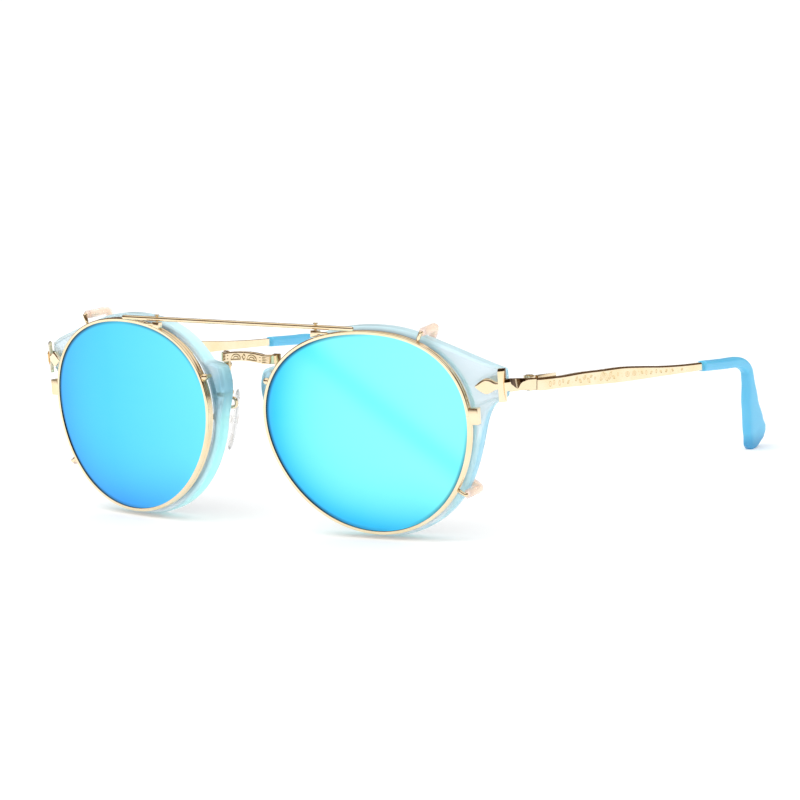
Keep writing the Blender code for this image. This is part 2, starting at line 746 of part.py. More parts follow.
def build_temple(side, pivot, surfaces):
    """The flat metal temple, whose round end is the core of the soft tip that is pushed over it."""
    outline_shares = (
        (0, 0.76, 0.04),
        (0.03, 0.80, 0.07),
        (0.115, 0.78, 0.04),
        (0.211, 0.90, 0),
        (0.297, 0.95, 0),
        (0.392, 1.0, -0.02),
        (0.488, 0.87, 0),
        (0.584, 0.69, 0.03),
        (0.691, 0.58, 0.03),
        (0.782, 0.54, 0),
    )
    half = TEMPLE_THICKNESS / 2
    sections = []
    for place, height, sink in outline_shares:
        centre = temple_point(TEMPLE_LENGTH * place, -TEMPLE_HEIGHT * sink)
        sections.append(oval(centre, OUT, UP, half, TEMPLE_HEIGHT / 2 * height, squareness=0.45))
    route = tip_route()
    core = route[: len(route) * 2 // 3]
    tangent = (core[1] - core[0]).normalized()
    neck = core[0] - tangent * SEAT_GAP
    for i, point in enumerate([neck, *core[1:]]):
        sections.append(oval(point, OUT, OUT.cross(direction(core, i)), CORE_RADIUS, CORE_RADIUS))
    solid(side_name("temple_arm", side), loft(sections), side, pivot, surfaces["gold"])
    widths = route_widths(len(route))
    skin = []
    cavity = []
    for i, point in enumerate(route):
        along = direction(route, i)
        up = OUT.cross(along)
        across = up.cross(along)
        half_thickness = SLEEVE_HALF_THICKNESS * (0.75 if i == len(route) - 1 else 1)
        skin.append(oval(point, across, up, half_thickness, widths[i], 12, 0.65))
    radius = CORE_RADIUS + FINE_GAP
    for i, point in enumerate(core):
        along = direction(core, i)
        place = point - along * OVERRUN if i == 0 else point
        place = point + along * SEAT_GAP if i == len(core) - 1 else place
        cavity.append(oval(place, OUT, OUT.cross(along), radius, radius))
    sleeve = solid(side_name("tip_sleeve", side), loft(skin), side, pivot, surfaces["soft"])
    cut(sleeve, solid(side_name("tip_sleeve_cavity", side), loft(cavity), side, pivot))


def mount_place():
    """How far out the back plate's middle line is, on the swelling beside the nose."""
    return outline(SWELL_PEAK, RIM_MARGIN + NOSE_SWELL * 0.45).x


def mount_plate():
    """The plate behind the plastic that one end of the bridge turns back to."""
    depth = FRONT_BACK + SEAT_GAP + MOUNT_THICKNESS / 2
    height = MOUNT_TOP - MOUNT_BOTTOM
    centre = eye_point(mount_place(), (MOUNT_TOP + MOUNT_BOTTOM) / 2, depth)
    return box(centre, (2 * MOUNT_HALF_WIDTH, MOUNT_THICKNESS, height), (EYE_OUT, EYE_BACK, EYE_UP))


def build_bridge(root, surfaces):
    """An arched band whose ends turn back past the swellings and join a plate behind each."""
    depth = FRONT_BACK + SEAT_GAP + MOUNT_THICKNESS / 2
    plate = eye_point(mount_place(), MOUNT_TOP - BAND_HALF_HEIGHT, depth)
    half_span = plate.x
    right_half = []
    for share in (0, 0.35, 0.7):
        x = (half_span - BAND_TURN) * share
        rise = BRIDGE_ARCH * (1 - share * share)
        centre = Vector((x, BRIDGE_DEPTH, BRIDGE_HEIGHT - BRIDGE_ARCH + rise))
        right_half.append((centre, BACK))
    pivot = Vector((half_span - BAND_TURN, BRIDGE_DEPTH + BAND_TURN, BRIDGE_HEIGHT - BRIDGE_ARCH))
    for turn in (0, 30, 60, 90):
        a = math.radians(turn)
        centre = pivot + Vector((math.sin(a), -math.cos(a), 0)) * BAND_TURN
        right_half.append((centre, Vector((-math.sin(a), math.cos(a), 0))))
    right_half.append((Vector((half_span, plate.y, plate.z)), -OUT))
    half = []
    for centre, across in right_half:
        half.append(oval(centre, across, UP, BAND_HALF_THICKNESS, BAND_HALF_HEIGHT, squareness=0.5))
    flipped = Matrix.Diagonal((-1, 1, 1))
    other_half = [[flipped @ point for point in section] for section in reversed(half[1:])]
    bridge = solid("bridge", loft([*other_half, *half]), 1, root, surfaces["gold"])
    for side in (1, -1):
        weld_on(bridge, solid(side_name("bridge_plate", side), mount_plate(), side, root))
    return bridge


def build_mount_screws(side, root, bridge, rim, surfaces):
    """Two screws hold each back plate of the bridge to the plastic."""
    u = mount_place()
    back = MOUNT_BACK + FINE_GAP / 2
    heights = (
        ("upper", MOUNT_TOP - 4.2 * SCREW_HEAD_RADIUS),
        ("lower", MOUNT_BOTTOM + 1.6 * SCREW_HEAD_RADIUS),
    )
    for word, v in heights:
        head = eye_point(u, v, back + SCREW_HEAD_HEIGHT)
        point = eye_point(u, v, back - MOUNT_THICKNESS - SEAT_GAP - SCREW_DEPTH)
        length = (head - point).length
        steps = (
            (0, SCREW_HEAD_RADIUS * 0.8),
            (SCREW_HEAD_HEIGHT * 0.4, SCREW_HEAD_RADIUS),
            (SCREW_HEAD_HEIGHT, SCREW_HEAD_RADIUS),
            (SCREW_HEAD_HEIGHT * 1.01, SCREW_RADIUS),
            (length, SCREW_RADIUS),
        )
        name = side_name(f"bridge_screw_{word}", side)
        solid(name, rod(head, point, steps, 10), side, root, surfaces["gold"])
        hole_end = point - EYE_BACK * SEAT_GAP
        for target, hole in ((bridge, "plate"), (rim, "rim")):
            screw_hole(target, f"{name}_{hole}_hole", head, hole_end, SCREW_RADIUS + FINE_GAP, side, root)


def pad_axes():
    """The pad's directions: across its width, up along it, and out of its skin side."""
    skin = Vector((math.cos(PAD_FACING), math.sin(PAD_FACING), 0))
    across = Vector((math.sin(PAD_FACING), -math.cos(PAD_FACING), 0))
    lean = Matrix.Rotation(PAD_LEAN, 3, across)
    return across, lean @ UP, lean @ skin


def pad_pin_place():
    return PAD_PLACE - pad_axes()[2] * (PAD_HALF_THICKNESS + BOSS_LENGTH / 2)


def build_pad(side, pivot, surfaces):
    """A soft pad with a boss on its back, and the screw through the boss that it tilts on."""
    across, up, skin = pad_axes()
    shape = bmesh.new()
    bmesh.ops.create_uvsphere(shape, u_segments=16, v_segments=9, radius=1)
    for vertex in shape.verts:
        share = vertex.co.z
        taper = 1 - 0.22 * share
        place = across * (vertex.co.x * PAD_HALF_WIDTH * taper)
        place += up * (share * PAD_HALF_HEIGHT)
        place += skin * (vertex.co.y * PAD_HALF_THICKNESS)
        vertex.co = PAD_PLACE + place
    pad = solid(side_name("nose_pad", side), shape, side, pivot, surfaces["silicone"])
    pin = pad_pin_place()
    boss_sizes = (2 * BOSS_HALF, 2 * BOSS_HALF, BOSS_LENGTH * 1.5)
    boss = box(pin + skin * (BOSS_LENGTH * 0.25), boss_sizes, (across, up, skin))
    weld_on(pad, solid(side_name("nose_pad_boss", side), boss, side, pivot))
    reach = across * (BOSS_HALF + FINE_GAP + CHEEK_THICKNESS)
    radius = PAD_PIN_RADIUS + FINE_GAP
    screw_hole(pad, side_name("nose_pad_bore", side), pin - reach, pin + reach, radius, side, pivot)
    head = PAD_PIN_RADIUS * 0.8
    start = pin - reach - across * (head + FINE_GAP)
    end = pin + reach
    length = (end - start).length
    steps = ((0, head * 2), (head, head * 2), (head * 1.01, PAD_PIN_RADIUS), (length, PAD_PIN_RADIUS))
    solid(side_name("pad_screw", side), rod(start, end, steps, 10), side, pivot, surfaces["gold"])


def build_pad_arm(side, root, surfaces):
    """A wire with a loop in it, from the back plate to the fork that holds the pad's pin."""
    across, up, skin = pad_axes()
    pin = pad_pin_place()
    reach = BOSS_HALF + FINE_GAP + CHEEK_THICKNESS
    back = pin - skin * (BOSS_LENGTH / 2 + FINE_GAP + CHEEK_THICKNESS)
    front = pin + skin * (BOSS_LENGTH * 0.45)
    fork = box((back + front) / 2, (2 * reach, 2 * BOSS_HALF, (front - back).length), (across, up, skin))
    arm = solid(side_name("pad_arm", side), fork, side, root, surfaces["gold"])
    seat = mount_place() + MOUNT_HALF_WIDTH / 2
    base = eye_point(seat, MOUNT_BOTTOM + 4.6 * SCREW_HEAD_RADIUS, MOUNT_BACK + FINE_GAP)
    loop_shares = (
        (0.07, 0.15, -0.19),
        (0.11, 0.15, -0.49),
        (-0.11, 0.16, -0.59),
        (-0.10, 0.18, -0.81),
        (0.11, 0.11, -0.86),
        (0.32, 0.12, -0.99),
    )
    loop = [base + Vector(shares) * PAD_HALF_HEIGHT for shares in loop_shares]
    ends = (back - skin * BOSS_LENGTH, back + skin * (CHEEK_THICKNESS / 2))
    route = smooth_route([base, base + BACK * (2 * PAD_WIRE_RADIUS), *loop, *ends], 3)
    wire = tube(route, [PAD_WIRE_RADIUS] * len(route))
    weld_on(arm, solid(side_name("pad_arm_wire", side), wire, side, root))
    gap_front = front + skin * OVERRUN
    gap_back = back + skin * CHEEK_THICKNESS
    gap_sizes = (2 * (BOSS_HALF + FINE_GAP), 4 * BOSS_HALF, (gap_front - gap_back).length)
    gap = box((gap_front + gap_back) / 2, gap_sizes, (across, up, skin))
    cut(arm, solid(side_name("pad_arm_gap", side), gap, side, root))
    ends = (pin - across * (reach + OVERRUN), pin + across * (reach + OVERRUN))
    screw_hole(arm, side_name("pad_arm_bore", side), *ends, PAD_PIN_RADIUS + FINE_GAP, side, root)


def clip_profile():
    """The clip rim's section as (offset, depth): a groove inside for the lens and a fine groove outside."""
    width = CLIP_RIM_WIDTH
    depth = CLIP_RIM_DEPTH
    fine = CLIP_BEAD_GROOVE
    return (
        (0, 0),
        (0, CLIP_LIP),
        (CLIP_GROOVE, CLIP_LIP),
        (CLIP_GROOVE, depth - CLIP_LIP),
        (0, depth - CLIP_LIP),
        (0, depth),
        (width - fine, depth),
        (width, depth * 0.82),
        (width, depth * 0.62),
        (width - fine, depth * 0.5),
        (width, depth * 0.38),
        (width, depth * 0.18),
        (width - fine, 0),
    )


def clip_frame(angle, offset, depth):
    """A point of the clip rim's edge with its outward direction."""
    place = outline(angle, offset)
    normal = edge_normal(angle)
    outward = EYE_OUT * normal.x + EYE_UP * normal.y
    return eye_point(place.x, place.y, depth), outward


def build_clip_rim(side, clip, surfaces):
    """A ring parted at its closing block, whose two halves a small screw draws together, and its lens."""
    parting = SEAT_GAP / 2 / LENS_HALF_HEIGHT
    start = TAB_ANGLE + parting
    sweep = 2 * math.pi - 2 * parting
    sections = []
    for k in range(CLIP_STATIONS + 1):
        angle = start + sweep * k / CLIP_STATIONS
        places = [(outline(angle, offset), depth) for offset, depth in clip_profile()]
        sections.append([eye_point(p.x, p.y, depth) for p, depth in places])
    rim = solid(side_name("clip_rim", side), loft(sections), side, clip, surfaces["gold"])
    edge = outline(TAB_ANGLE, CLIP_GROOVE)
    u = edge.x + FINE_GAP + TAB_WIDTH / 2
    half_height = TAB_HALF_HEIGHT - SEAT_GAP / 2
    for word, way in (("upper", 1), ("lower", -1)):
        v = edge.y + way * (SEAT_GAP / 2 + half_height / 2)
        centre = eye_point(u, v, CLIP_RIM_DEPTH / 2)
        block = box(centre, (TAB_WIDTH, CLIP_RIM_DEPTH * 0.96, half_height), (EYE_OUT, EYE_BACK, EYE_UP))
        weld_on(rim, solid(side_name(f"clip_rim_block_{word}", side), block, side, clip))
    pin_u = u + TAB_WIDTH * 0.2
    low = eye_point(pin_u, edge.y - TAB_HALF_HEIGHT - TAB_PIN_RADIUS - FINE_GAP, CLIP_RIM_DEPTH / 2)
    high = eye_point(pin_u, edge.y + TAB_HALF_HEIGHT - FINE_GAP, CLIP_RIM_DEPTH / 2)
    hole_high = high + EYE_UP * (FINE_GAP + OVERRUN)
    hole_low = low - EYE_UP * OVERRUN
    bore = side_name("clip_rim_bore", side)
    screw_hole(rim, bore, hole_low, hole_high, TAB_PIN_RADIUS + FINE_GAP, side, clip)
    head = TAB_PIN_RADIUS
    steps = (
        (0, TAB_PIN_HEAD_RADIUS * 0.8),
        (head * 0.5, TAB_PIN_HEAD_RADIUS),
        (head, TAB_PIN_HEAD_RADIUS),
        (head * 1.01, TAB_PIN_RADIUS),
        ((high - low).length, TAB_PIN_RADIUS),
    )
    solid(side_name("closing_screw", side), rod(low, high, steps, 10), side, clip, surfaces["gold"])
    front = CLIP_LIP + FINE_GAP
    lens = lens_body(CLIP_GROOVE - FINE_GAP, front, CLIP_LENS_THICKNESS, 0, CLIP_STATIONS)
    solid(side_name("mirror_lens", side), lens, side, clip, surfaces["mirror"])


def bar_line():
    """A point on the top bar's line, above the left block, and the clip rim's edge below it."""
    foot, _ = clip_frame(BLOCK_ANGLE, CLIP_RIM_WIDTH, 0)
    return Vector((foot.x, foot.y, BAR_RISE)), foot


def build_block(side, clip, surfaces):
    """A block that stands on the clip rim under the top bar, with a thin strip beneath the bar."""
    bar, foot = bar_line()
    sole = foot + UP * SEAT_GAP
    head = bar - UP * (BAR_RADIUS + FINE_GAP)
    plan = oval(sole, OUT, BACK, BLOCK_HALF_WIDTH, BLOCK_HALF_DEPTH, squareness=0.4)
    high_points = [Vector((p.x, p.y, head.z)) for p in plan]
    low_points = [p + UP * rim_rise(p) for p in plan]
    shape = loft([low_points, high_points])
    block = solid(side_name("bar_block", side), shape, side, clip, surfaces["gold"])
    strip = head + OUT * (STRIP_LENGTH / 2) - BACK * STRIP_FORWARD - UP * (2 * STRIP_HALF_HEIGHT)
    strip_sizes = (STRIP_LENGTH, 2 * STRIP_HALF_DEPTH, 2 * STRIP_HALF_HEIGHT)
    weld_on(block, solid(side_name("bar_block_strip", side), box(strip, strip_sizes), side, clip))
    return block


def rim_rise(point):
    """How much higher than its block's middle the clip rim's top edge is, at a point beside it."""
    _, foot = bar_line()
    normal = edge_normal(BLOCK_ANGLE)
    slope = -normal.x / normal.y
    return (point.x - foot.x) * slope


def build_bar(clip, surfaces):
    """A straight round bar that carries both clip rims."""
    bar, _ = bar_line()
    ends = [Vector((x, bar.y, bar.z)) for x in (-BAR_HALF_LENGTH, BAR_HALF_LENGTH)]
    length = 2 * BAR_HALF_LENGTH
    tip = BAR_RADIUS
    body_end = length - tip
    steps = ((0, BAR_RADIUS * 0.6), (tip, BAR_RADIUS), (body_end, BAR_RADIUS), (length, BAR_RADIUS * 0.6))
    return solid("top_bar", rod(*ends, steps, 12), 1, clip, surfaces["gold"])


def build_bar_screw(side, clip, bar_object, block, surfaces):
    """The screw that holds the top bar down on its block."""
    bar, foot = bar_line()
    top = bar + UP * (BAR_RADIUS + FINE_GAP + BLOCK_PIN_HEAD_HEIGHT)
    bottom = bar - UP * (BAR_RADIUS + FINE_GAP + (bar.z - foot.z) * 0.35)
    head = BLOCK_PIN_HEAD_HEIGHT
    steps = (
        (0, BLOCK_PIN_HEAD_RADIUS * 0.6),
        (head * 0.5, BLOCK_PIN_HEAD_RADIUS),
        (head, BLOCK_PIN_HEAD_RADIUS),
        (head * 1.01, BLOCK_PIN_RADIUS - FINE_GAP / 2),
        ((top - bottom).length, BLOCK_PIN_RADIUS - FINE_GAP / 2),
    )
    solid(side_name("bar_screw", side), rod(top, bottom, steps, 10), side, clip, surfaces["gold"])
    hole_low = bottom - UP * SEAT_GAP
    for target, word in ((bar_object, "bar"), (block, "block")):
        name = side_name(f"bar_screw_hole_{word}", side)
        screw_hole(target, name, hole_low, top + UP * OVERRUN, BLOCK_PIN_RADIUS, side, clip)


def claw_route(angle):
    """A claw's wire: out from the clip rim, back over the plastic's edge and in behind it."""
    turned_out = CLAW_RADIUS + CLAW_SLEEVE_WALL
    edge = rim_reach(angle) + 2 * SEAT_GAP + turned_out
    behind = FRONT_BACK + SEAT_GAP + turned_out
    front = CLIP_RIM_DEPTH / 2
    lead = CLIP_RIM_WIDTH + SEAT_GAP
    hook = edge - turned_out - CLAW_GRIP
    front_bend = CLAW_RADIUS
    rear_bend = turned_out * 0.8
    plan = (
        (lead, front),
        (edge - front_bend, front),
        (edge, front + front_bend),
        (edge, (front + behind) / 2),
        (edge, behind - rear_bend),
        (edge - rear_bend, behind),
        (hook, behind),
    )
    points = []
    for offset, depth in plan:
        place, outward = clip_frame(angle, CLIP_RIM_WIDTH, depth)
        points.append(place + outward * (offset - CLIP_RIM_WIDTH))
    return points


def rim_reach(angle):
    """How far the plastic's outer edge lies from the lens outline at an angle, with the lug counted."""
    origin = lens_edge(angle)
    normal = edge_normal(angle)
    best = rim_margin(angle)
    for point in lug_outline():
        along = (point - origin).dot(normal)
        beside = abs((point - origin).dot(Vector((-normal.y, normal.x))))
        if beside < 2 * (CLAW_RADIUS + CLAW_SLEEVE_WALL):
            best = max(best, along)
    return best


def build_claw(word, angle, side, clip, surfaces):
    """A bent wire, and the soft sleeve over all of it behind its first bend."""
    wire_route = claw_route(angle)
    wire = tube(wire_route, [CLAW_RADIUS] * len(wire_route))
    solid(side_name(f"claw_{word}", side), wire, side, clip, surfaces["gold"])
    skin_route = list(wire_route[2:])
    tail = (wire_route[-1] - wire_route[-2]).normalized()
    skin_route.append(wire_route[-1] + tail * (SEAT_GAP + CLAW_SLEEVE_WALL))
    outer = CLAW_RADIUS + CLAW_SLEEVE_WALL
    skin = tube(skin_route, [outer] * (len(skin_route) - 1) + [outer * 0.6])
    sleeve = solid(side_name(f"claw_sleeve_{word}", side), skin, side, clip, surfaces["vinyl"])
    bore_route = [*wire_route[:-1], wire_route[-1] + tail * (FINE_GAP / 2)]
    bore_radius = CLAW_RADIUS + FINE_GAP / 2
    bore = tube(bore_route, [bore_radius] * len(bore_route))
    cut(sleeve, solid(side_name(f"claw_sleeve_bore_{word}", side), bore, side, clip))


def build_peg(side, clip, surfaces):
    """A short peg on the clip rim beside the nose, which keeps the clip off the plastic."""
    start, _ = clip_frame(PEG_ANGLE, CLIP_RIM_WIDTH + SEAT_GAP + PEG_HEAD_RADIUS, 0)
    end, _ = clip_frame(PEG_ANGLE, CLIP_RIM_WIDTH + SEAT_GAP + PEG_HEAD_RADIUS, FRONT_DEPTH - SEAT_GAP)
    length = (end - start).length
    steps = (
        (0, PEG_HEAD_RADIUS * 0.7),
        (length * 0.2, PEG_HEAD_RADIUS),
        (length * 0.6, PEG_HEAD_RADIUS),
        (length * 0.62, PEG_RADIUS),
        (length, PEG_RADIUS),
    )
    solid(side_name("nose_peg", side), rod(start, end, steps, 10), side, clip, surfaces["gold"])


def world_points(root):
    """Every visible solid's points, by object name, as they stand."""
    bpy.context.view_layer.update()
    graph = bpy.context.evaluated_depsgraph_get()
    found = {}
    for thing in bpy.data.objects:
        if thing.type == "MESH" and not thing.hide_render:
            evaluated = thing.evaluated_get(graph)
            mesh = evaluated.to_mesh()
            found[thing.name] = [evaluated.matrix_world @ vertex.co for vertex in mesh.vertices]
            evaluated.to_mesh_clear()
    return found


def lowest(found, start):
    """The lowest point of the solids whose names start so."""
    points = [point for name, points in found.items() if name.startswith(start) for point in points]
    return min(points, key=lambda point: point.z)


def set_down(root):
    """Tilts the pair until rims and tips touch one level plane, then centres it over the zero point."""
    for _ in range(6):
        found = world_points(root)
        front = lowest(found, "front_rim")
        tip = lowest(found, "tip_sleeve")
        root.rotation_euler.x -= math.atan2(tip.z - front.z, tip.y - front.y)
    everything = [p for ps in world_points(root).values() for p in ps]
    lows = [min(p[axis] for p in everything) for axis in range(3)]
    highs = [max(p[axis] for p in everything) for axis in range(3)]
    root.location -= Vector(((lows[0] + highs[0]) / 2, (lows[1] + highs[1]) / 2, lows[2]))


def main():
    clear_scene()
    surfaces = make_materials()
    root = empty("sunglasses", (0, 0, 0))
    clip = empty("clip", (0, 0, 0), root)
    bridge = build_bridge(root, surfaces)
    bar = build_bar(clip, surfaces)
    for side in (1, -1):
        rim = build_front(side, root, surfaces)
        build_mount_screws(side, root, bridge, rim, surfaces)
        build_pad_arm(side, root, surfaces)
        build_corner_plate(side, root, surfaces)
        build_front_hinge(side, root, rim, surfaces)
        hinge = hinge_place()
        mirrored = Vector((hinge.x * side, hinge.y, hinge.z))
        pivot = empty(side_name("temple_hinge", side), mirrored, root)
        build_rear_hinge(side, pivot, surfaces)
        build_temple(side, pivot, surfaces)
        pin = pad_pin_place()
        swivel = empty(side_name("pad_swivel", side), Vector((pin.x * side, pin.y, pin.z)), root)
        build_pad(side, swivel, surfaces)
        build_clip_rim(side, clip, surfaces)
        block = build_block(side, clip, surfaces)
        build_bar_screw(side, clip, bar, block, surfaces)
        build_claw("upper", UPPER_CLAW_ANGLE, side, clip, surfaces)
        build_claw("lower", LOWER_CLAW_ANGLE, side, clip, surfaces)
        build_peg(side, clip, surfaces)
    set_down(root)


main()
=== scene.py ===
"""Sunglasses with a mirrored clip: their looks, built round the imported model.

Pieces are drawn in metres, for the left side and as the pair is worn: +X to the wearer's left, +Y back
and +Z up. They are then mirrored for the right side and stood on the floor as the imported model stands.
"""

import json
import math

import bmesh
import bpy
import numpy as np
from mathutils import Matrix, Vector


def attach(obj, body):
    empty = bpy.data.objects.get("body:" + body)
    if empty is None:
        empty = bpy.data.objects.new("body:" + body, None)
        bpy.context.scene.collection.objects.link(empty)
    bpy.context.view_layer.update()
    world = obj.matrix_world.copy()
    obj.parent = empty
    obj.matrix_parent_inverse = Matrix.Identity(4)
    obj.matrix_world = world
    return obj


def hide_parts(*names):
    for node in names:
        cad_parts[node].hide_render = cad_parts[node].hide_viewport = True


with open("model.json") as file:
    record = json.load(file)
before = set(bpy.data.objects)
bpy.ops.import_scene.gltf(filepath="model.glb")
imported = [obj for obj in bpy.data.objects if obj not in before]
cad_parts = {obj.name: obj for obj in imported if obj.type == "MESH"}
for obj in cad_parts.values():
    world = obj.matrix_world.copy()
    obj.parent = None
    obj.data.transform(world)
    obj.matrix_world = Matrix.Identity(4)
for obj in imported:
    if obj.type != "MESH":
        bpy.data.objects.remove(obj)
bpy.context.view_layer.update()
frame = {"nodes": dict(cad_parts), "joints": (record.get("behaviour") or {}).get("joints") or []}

# Sizes of the pair, as the CAD has them
LENS_SPACING = 0.0695
LENS_HALF_WIDTH = 0.0252
LENS_HALF_HEIGHT = 0.02305
WRAP_ANGLE = math.radians(7.8)
PANTOSCOPIC_ANGLE = math.radians(6.0)
TEMPLE_LENGTH = 0.0971
TIP_DROP = 0.0222
TEMPLE_SLOPE = math.radians(1.4)
SINE_2_SHARE = -0.013
SINE_3_SHARE = 0.031
COSINE_3_SHARE = -0.011
COSINE_4_SHARE = -0.009
SEAT_GAP = 0.0003
FINE_GAP = 0.0002
CLIP_RIM_WIDTH = 0.0008
CLIP_RIM_DEPTH = 0.0018
CLIP_LIP = 0.0002
CLIP_GROOVE = 0.0004
CLIP_BEAD_GROOVE = 0.00012
CLIP_LENS_THICKNESS = 0.0009
EYE_SETBACK = 0.0012
FRONT_DEPTH = 0.0021
FRONT_THICKNESS = 0.0040
RIM_MARGIN = 0.0019
TOP_MARGIN_SHARE = 0.75
OUTER_MARGIN_SHARE = 0.9
RIM_CHAMFER = 0.0006
APERTURE_INSET = 0.0005
LENS_GROOVE = 0.0009
LENS_THICKNESS = 0.0016
LENS_BULGE = 0.0009
NOSE_SWELL = 0.0033
SWELL_START = math.radians(147)
SWELL_PEAK = math.radians(155)
SWELL_END = math.radians(182)
TOP_ANGLE = math.radians(80)
OUTER_ANGLE = math.radians(322)
LUG_REACH = 0.0076
LUG_TOP = 0.0143
LUG_BOTTOM = 0.0073
LUG_CORNER = 0.0009
LUG_UPPER_ANGLE = math.radians(62)
LUG_LOWER_ANGLE = math.radians(-24)
LUG_FRONT_SWEEP = 0.0022
LUG_BACK_SWEEP = 0.0008
LUG_EVEN_SHARE = 0.25
PLATE_THICKNESS = 0.0010
PLATE_HEIGHT = 0.0106
LEAF_LENGTH = 0.0050
LEAF_HALF_HEIGHT = 0.00175
BAR_WIDTH = 0.0013
BAR_HALF_HEIGHT = 0.0038
ARM_HALF_HEIGHT = 0.00135
ARM_LENGTH = 0.0117
ARM_FALL = 0.00076
CORNER_RADIUS = 0.0008
HINGE_SETBACK = 0.0011
KNUCKLE_RADIUS = 0.0014
KNUCKLE_STACK = 0.0033
LEAF_PLATE = 0.0008
FOOT_WIDTH = 0.0042
PIN_RADIUS = 0.0006
PIN_HEAD_RADIUS = 0.0010
PIN_HEAD_HEIGHT = 0.0004
RIVET_HEAD_RADIUS = 0.0009
TEMPLE_THICKNESS = 0.0013
TEMPLE_HEIGHT = 0.0036
SLEEVE_START_SHARE = 0.792
SLEEVE_HALF_HEIGHT = 0.0014
SLEEVE_HALF_THICKNESS = 0.0014
TIP_TOE_IN = 0.0020
BRIDGE_HEIGHT = 0.0153
BRIDGE_ARCH = 0.0005
BRIDGE_DEPTH = 0.0001
BAND_HALF_HEIGHT = 0.0011
BAND_HALF_THICKNESS = 0.0006
BAND_TURN = 0.0016
MOUNT_HALF_WIDTH = 0.0012
MOUNT_THICKNESS = 0.0007
MOUNT_TOP = 0.0158
MOUNT_BOTTOM = 0.0046
SCREW_RADIUS = 0.0005
SCREW_HEAD_RADIUS = 0.0008
SCREW_HEAD_HEIGHT = 0.0004
SCREW_DEPTH = 0.0022
PAD_HALF_HEIGHT = 0.0073
PAD_HALF_WIDTH = 0.0039
PAD_HALF_THICKNESS = 0.0011
PAD_PLACE = Vector((0.0104, 0.0089, -0.0010))
PAD_FACING = math.radians(136)
PAD_LEAN = math.radians(-9)
PAD_WIRE_RADIUS = 0.0004
BOSS_HALF = 0.0008
CHEEK_THICKNESS = 0.0005
BOSS_LENGTH = 0.0016
PAD_PIN_RADIUS = 0.00035
TAB_ANGLE = math.radians(10)
TAB_WIDTH = 0.0028
TAB_HALF_HEIGHT = 0.0019
TAB_PIN_RADIUS = 0.0004
TAB_PIN_HEAD_RADIUS = 0.0007
BAR_RADIUS = 0.00055
BAR_RISE = 0.0233
BAR_HALF_LENGTH = 0.0338
BLOCK_ANGLE = math.radians(117)
BLOCK_PIN_HEAD_RADIUS = 0.0006
BLOCK_PIN_HEAD_HEIGHT = 0.00025
UPPER_CLAW_ANGLE = math.radians(58)
LOWER_CLAW_ANGLE = math.radians(-33.5)
CLAW_RADIUS = 0.00045
CLAW_SLEEVE_WALL = 0.00055
CLAW_GRIP = 0.0012
PEG_ANGLE = math.radians(156)
PEG_RADIUS = 0.0005
PEG_HEAD_RADIUS = 0.0008

# Sizes that only the looks have
MIRROR_BULGE = 0.0007
PARTING = 0.00001
TAB_SHOWN_SHARE = 0.8
MOUNT_SHOWN_SHARE = 0.7
FORK_EASE = 0.00015
STRIP_EASE = 0.00012
LEAF_BEVEL = 0.00045
TEMPLE_BEVEL = (0.00042, 0.00018)
BRIDGE_BEVEL = (0.00025, 0.00012)
BAR_TURN_SHARE = 0.22
BAR_STEP_SHARE = 0.02
BAR_EDGE_SHARE = 0.6
SCOOP_END_SHARE = 0.6
GROOVE_HALF_WIDTH = 0.00013
TEMPLE_GROOVE_DEPTH = 0.00005
BRIDGE_GROOVE_DEPTH = 0.00008
FRONT_EASE = 0.0003
BOX_EASE = 0.0002
TAB_EASE = 0.00008
TAB_DEPTH_SHARE = 0.96
LEAF_EASE = 0.0002
BLOCK_EASE = 0.00015
BLOCK_PIN_SHANK_RADIUS = 0.0003
# How far a face of the corner must face up in the scoop, and out beside the bar, to take the painted dark
# reflection
DARK_REFLECTION_UP = 0.15
DARK_REFLECTION_OUT = 0.2
LIP_SHADE_START = 0.964
LIP_SHADE_FADE = 0.012

# How far the clip is shown forward of its nodes, and how much wider than theirs its rims and lenses are
CLIP_FORWARD = 0.0012
CLIP_WIDTH_SHARE = 1.026

# How the photograph was taken: where the camera stood round the lenses, where it looked and its lens
CAMERA_AZIMUTH = math.radians(37.6122)
CAMERA_ELEVATION = math.radians(6.1799)
CAMERA_DISTANCE = 0.735
CAMERA_YAW = math.radians(34.7781)
CAMERA_PITCH = math.radians(5.8085)
CAMERA_ROLL = math.radians(-0.1564)
CAMERA_LENS_MM = 141.33

# How finely things are drawn
DERIVATIVE_STEP = 0.001
FREE_STATIONS = 170
LUG_STATIONS = 24
EYE_STATIONS = 200
LENS_RINGS = 26
SMOOTH_ANGLE = math.radians(38)
TIP_SIDES = 28
RIM_STATIONS = 320
STRIP_ROWS = 24
BAND_ROWS = 20

# Where the plastic's painted light and shade lie: the slope and start of each share, and the place of the
# painted shade beside the pad
EDGE_ON = (-1.3, 1.15)
CROWN_LIGHT = (1.4, -0.3)
FLANK_SHADE = (1.6, -0.5)
NASAL_GLOW = (-1.4, 0.0)
TOP_DULLS = 0.75
PAD_SHADE_DULLS = 0.85
PAD_SHADE_START = 0.93
PAD_SHADE_FADE = 0.1
PAD_SHADE_RISE = 0.34
PAD_SHADE_SPREAD = 0.26

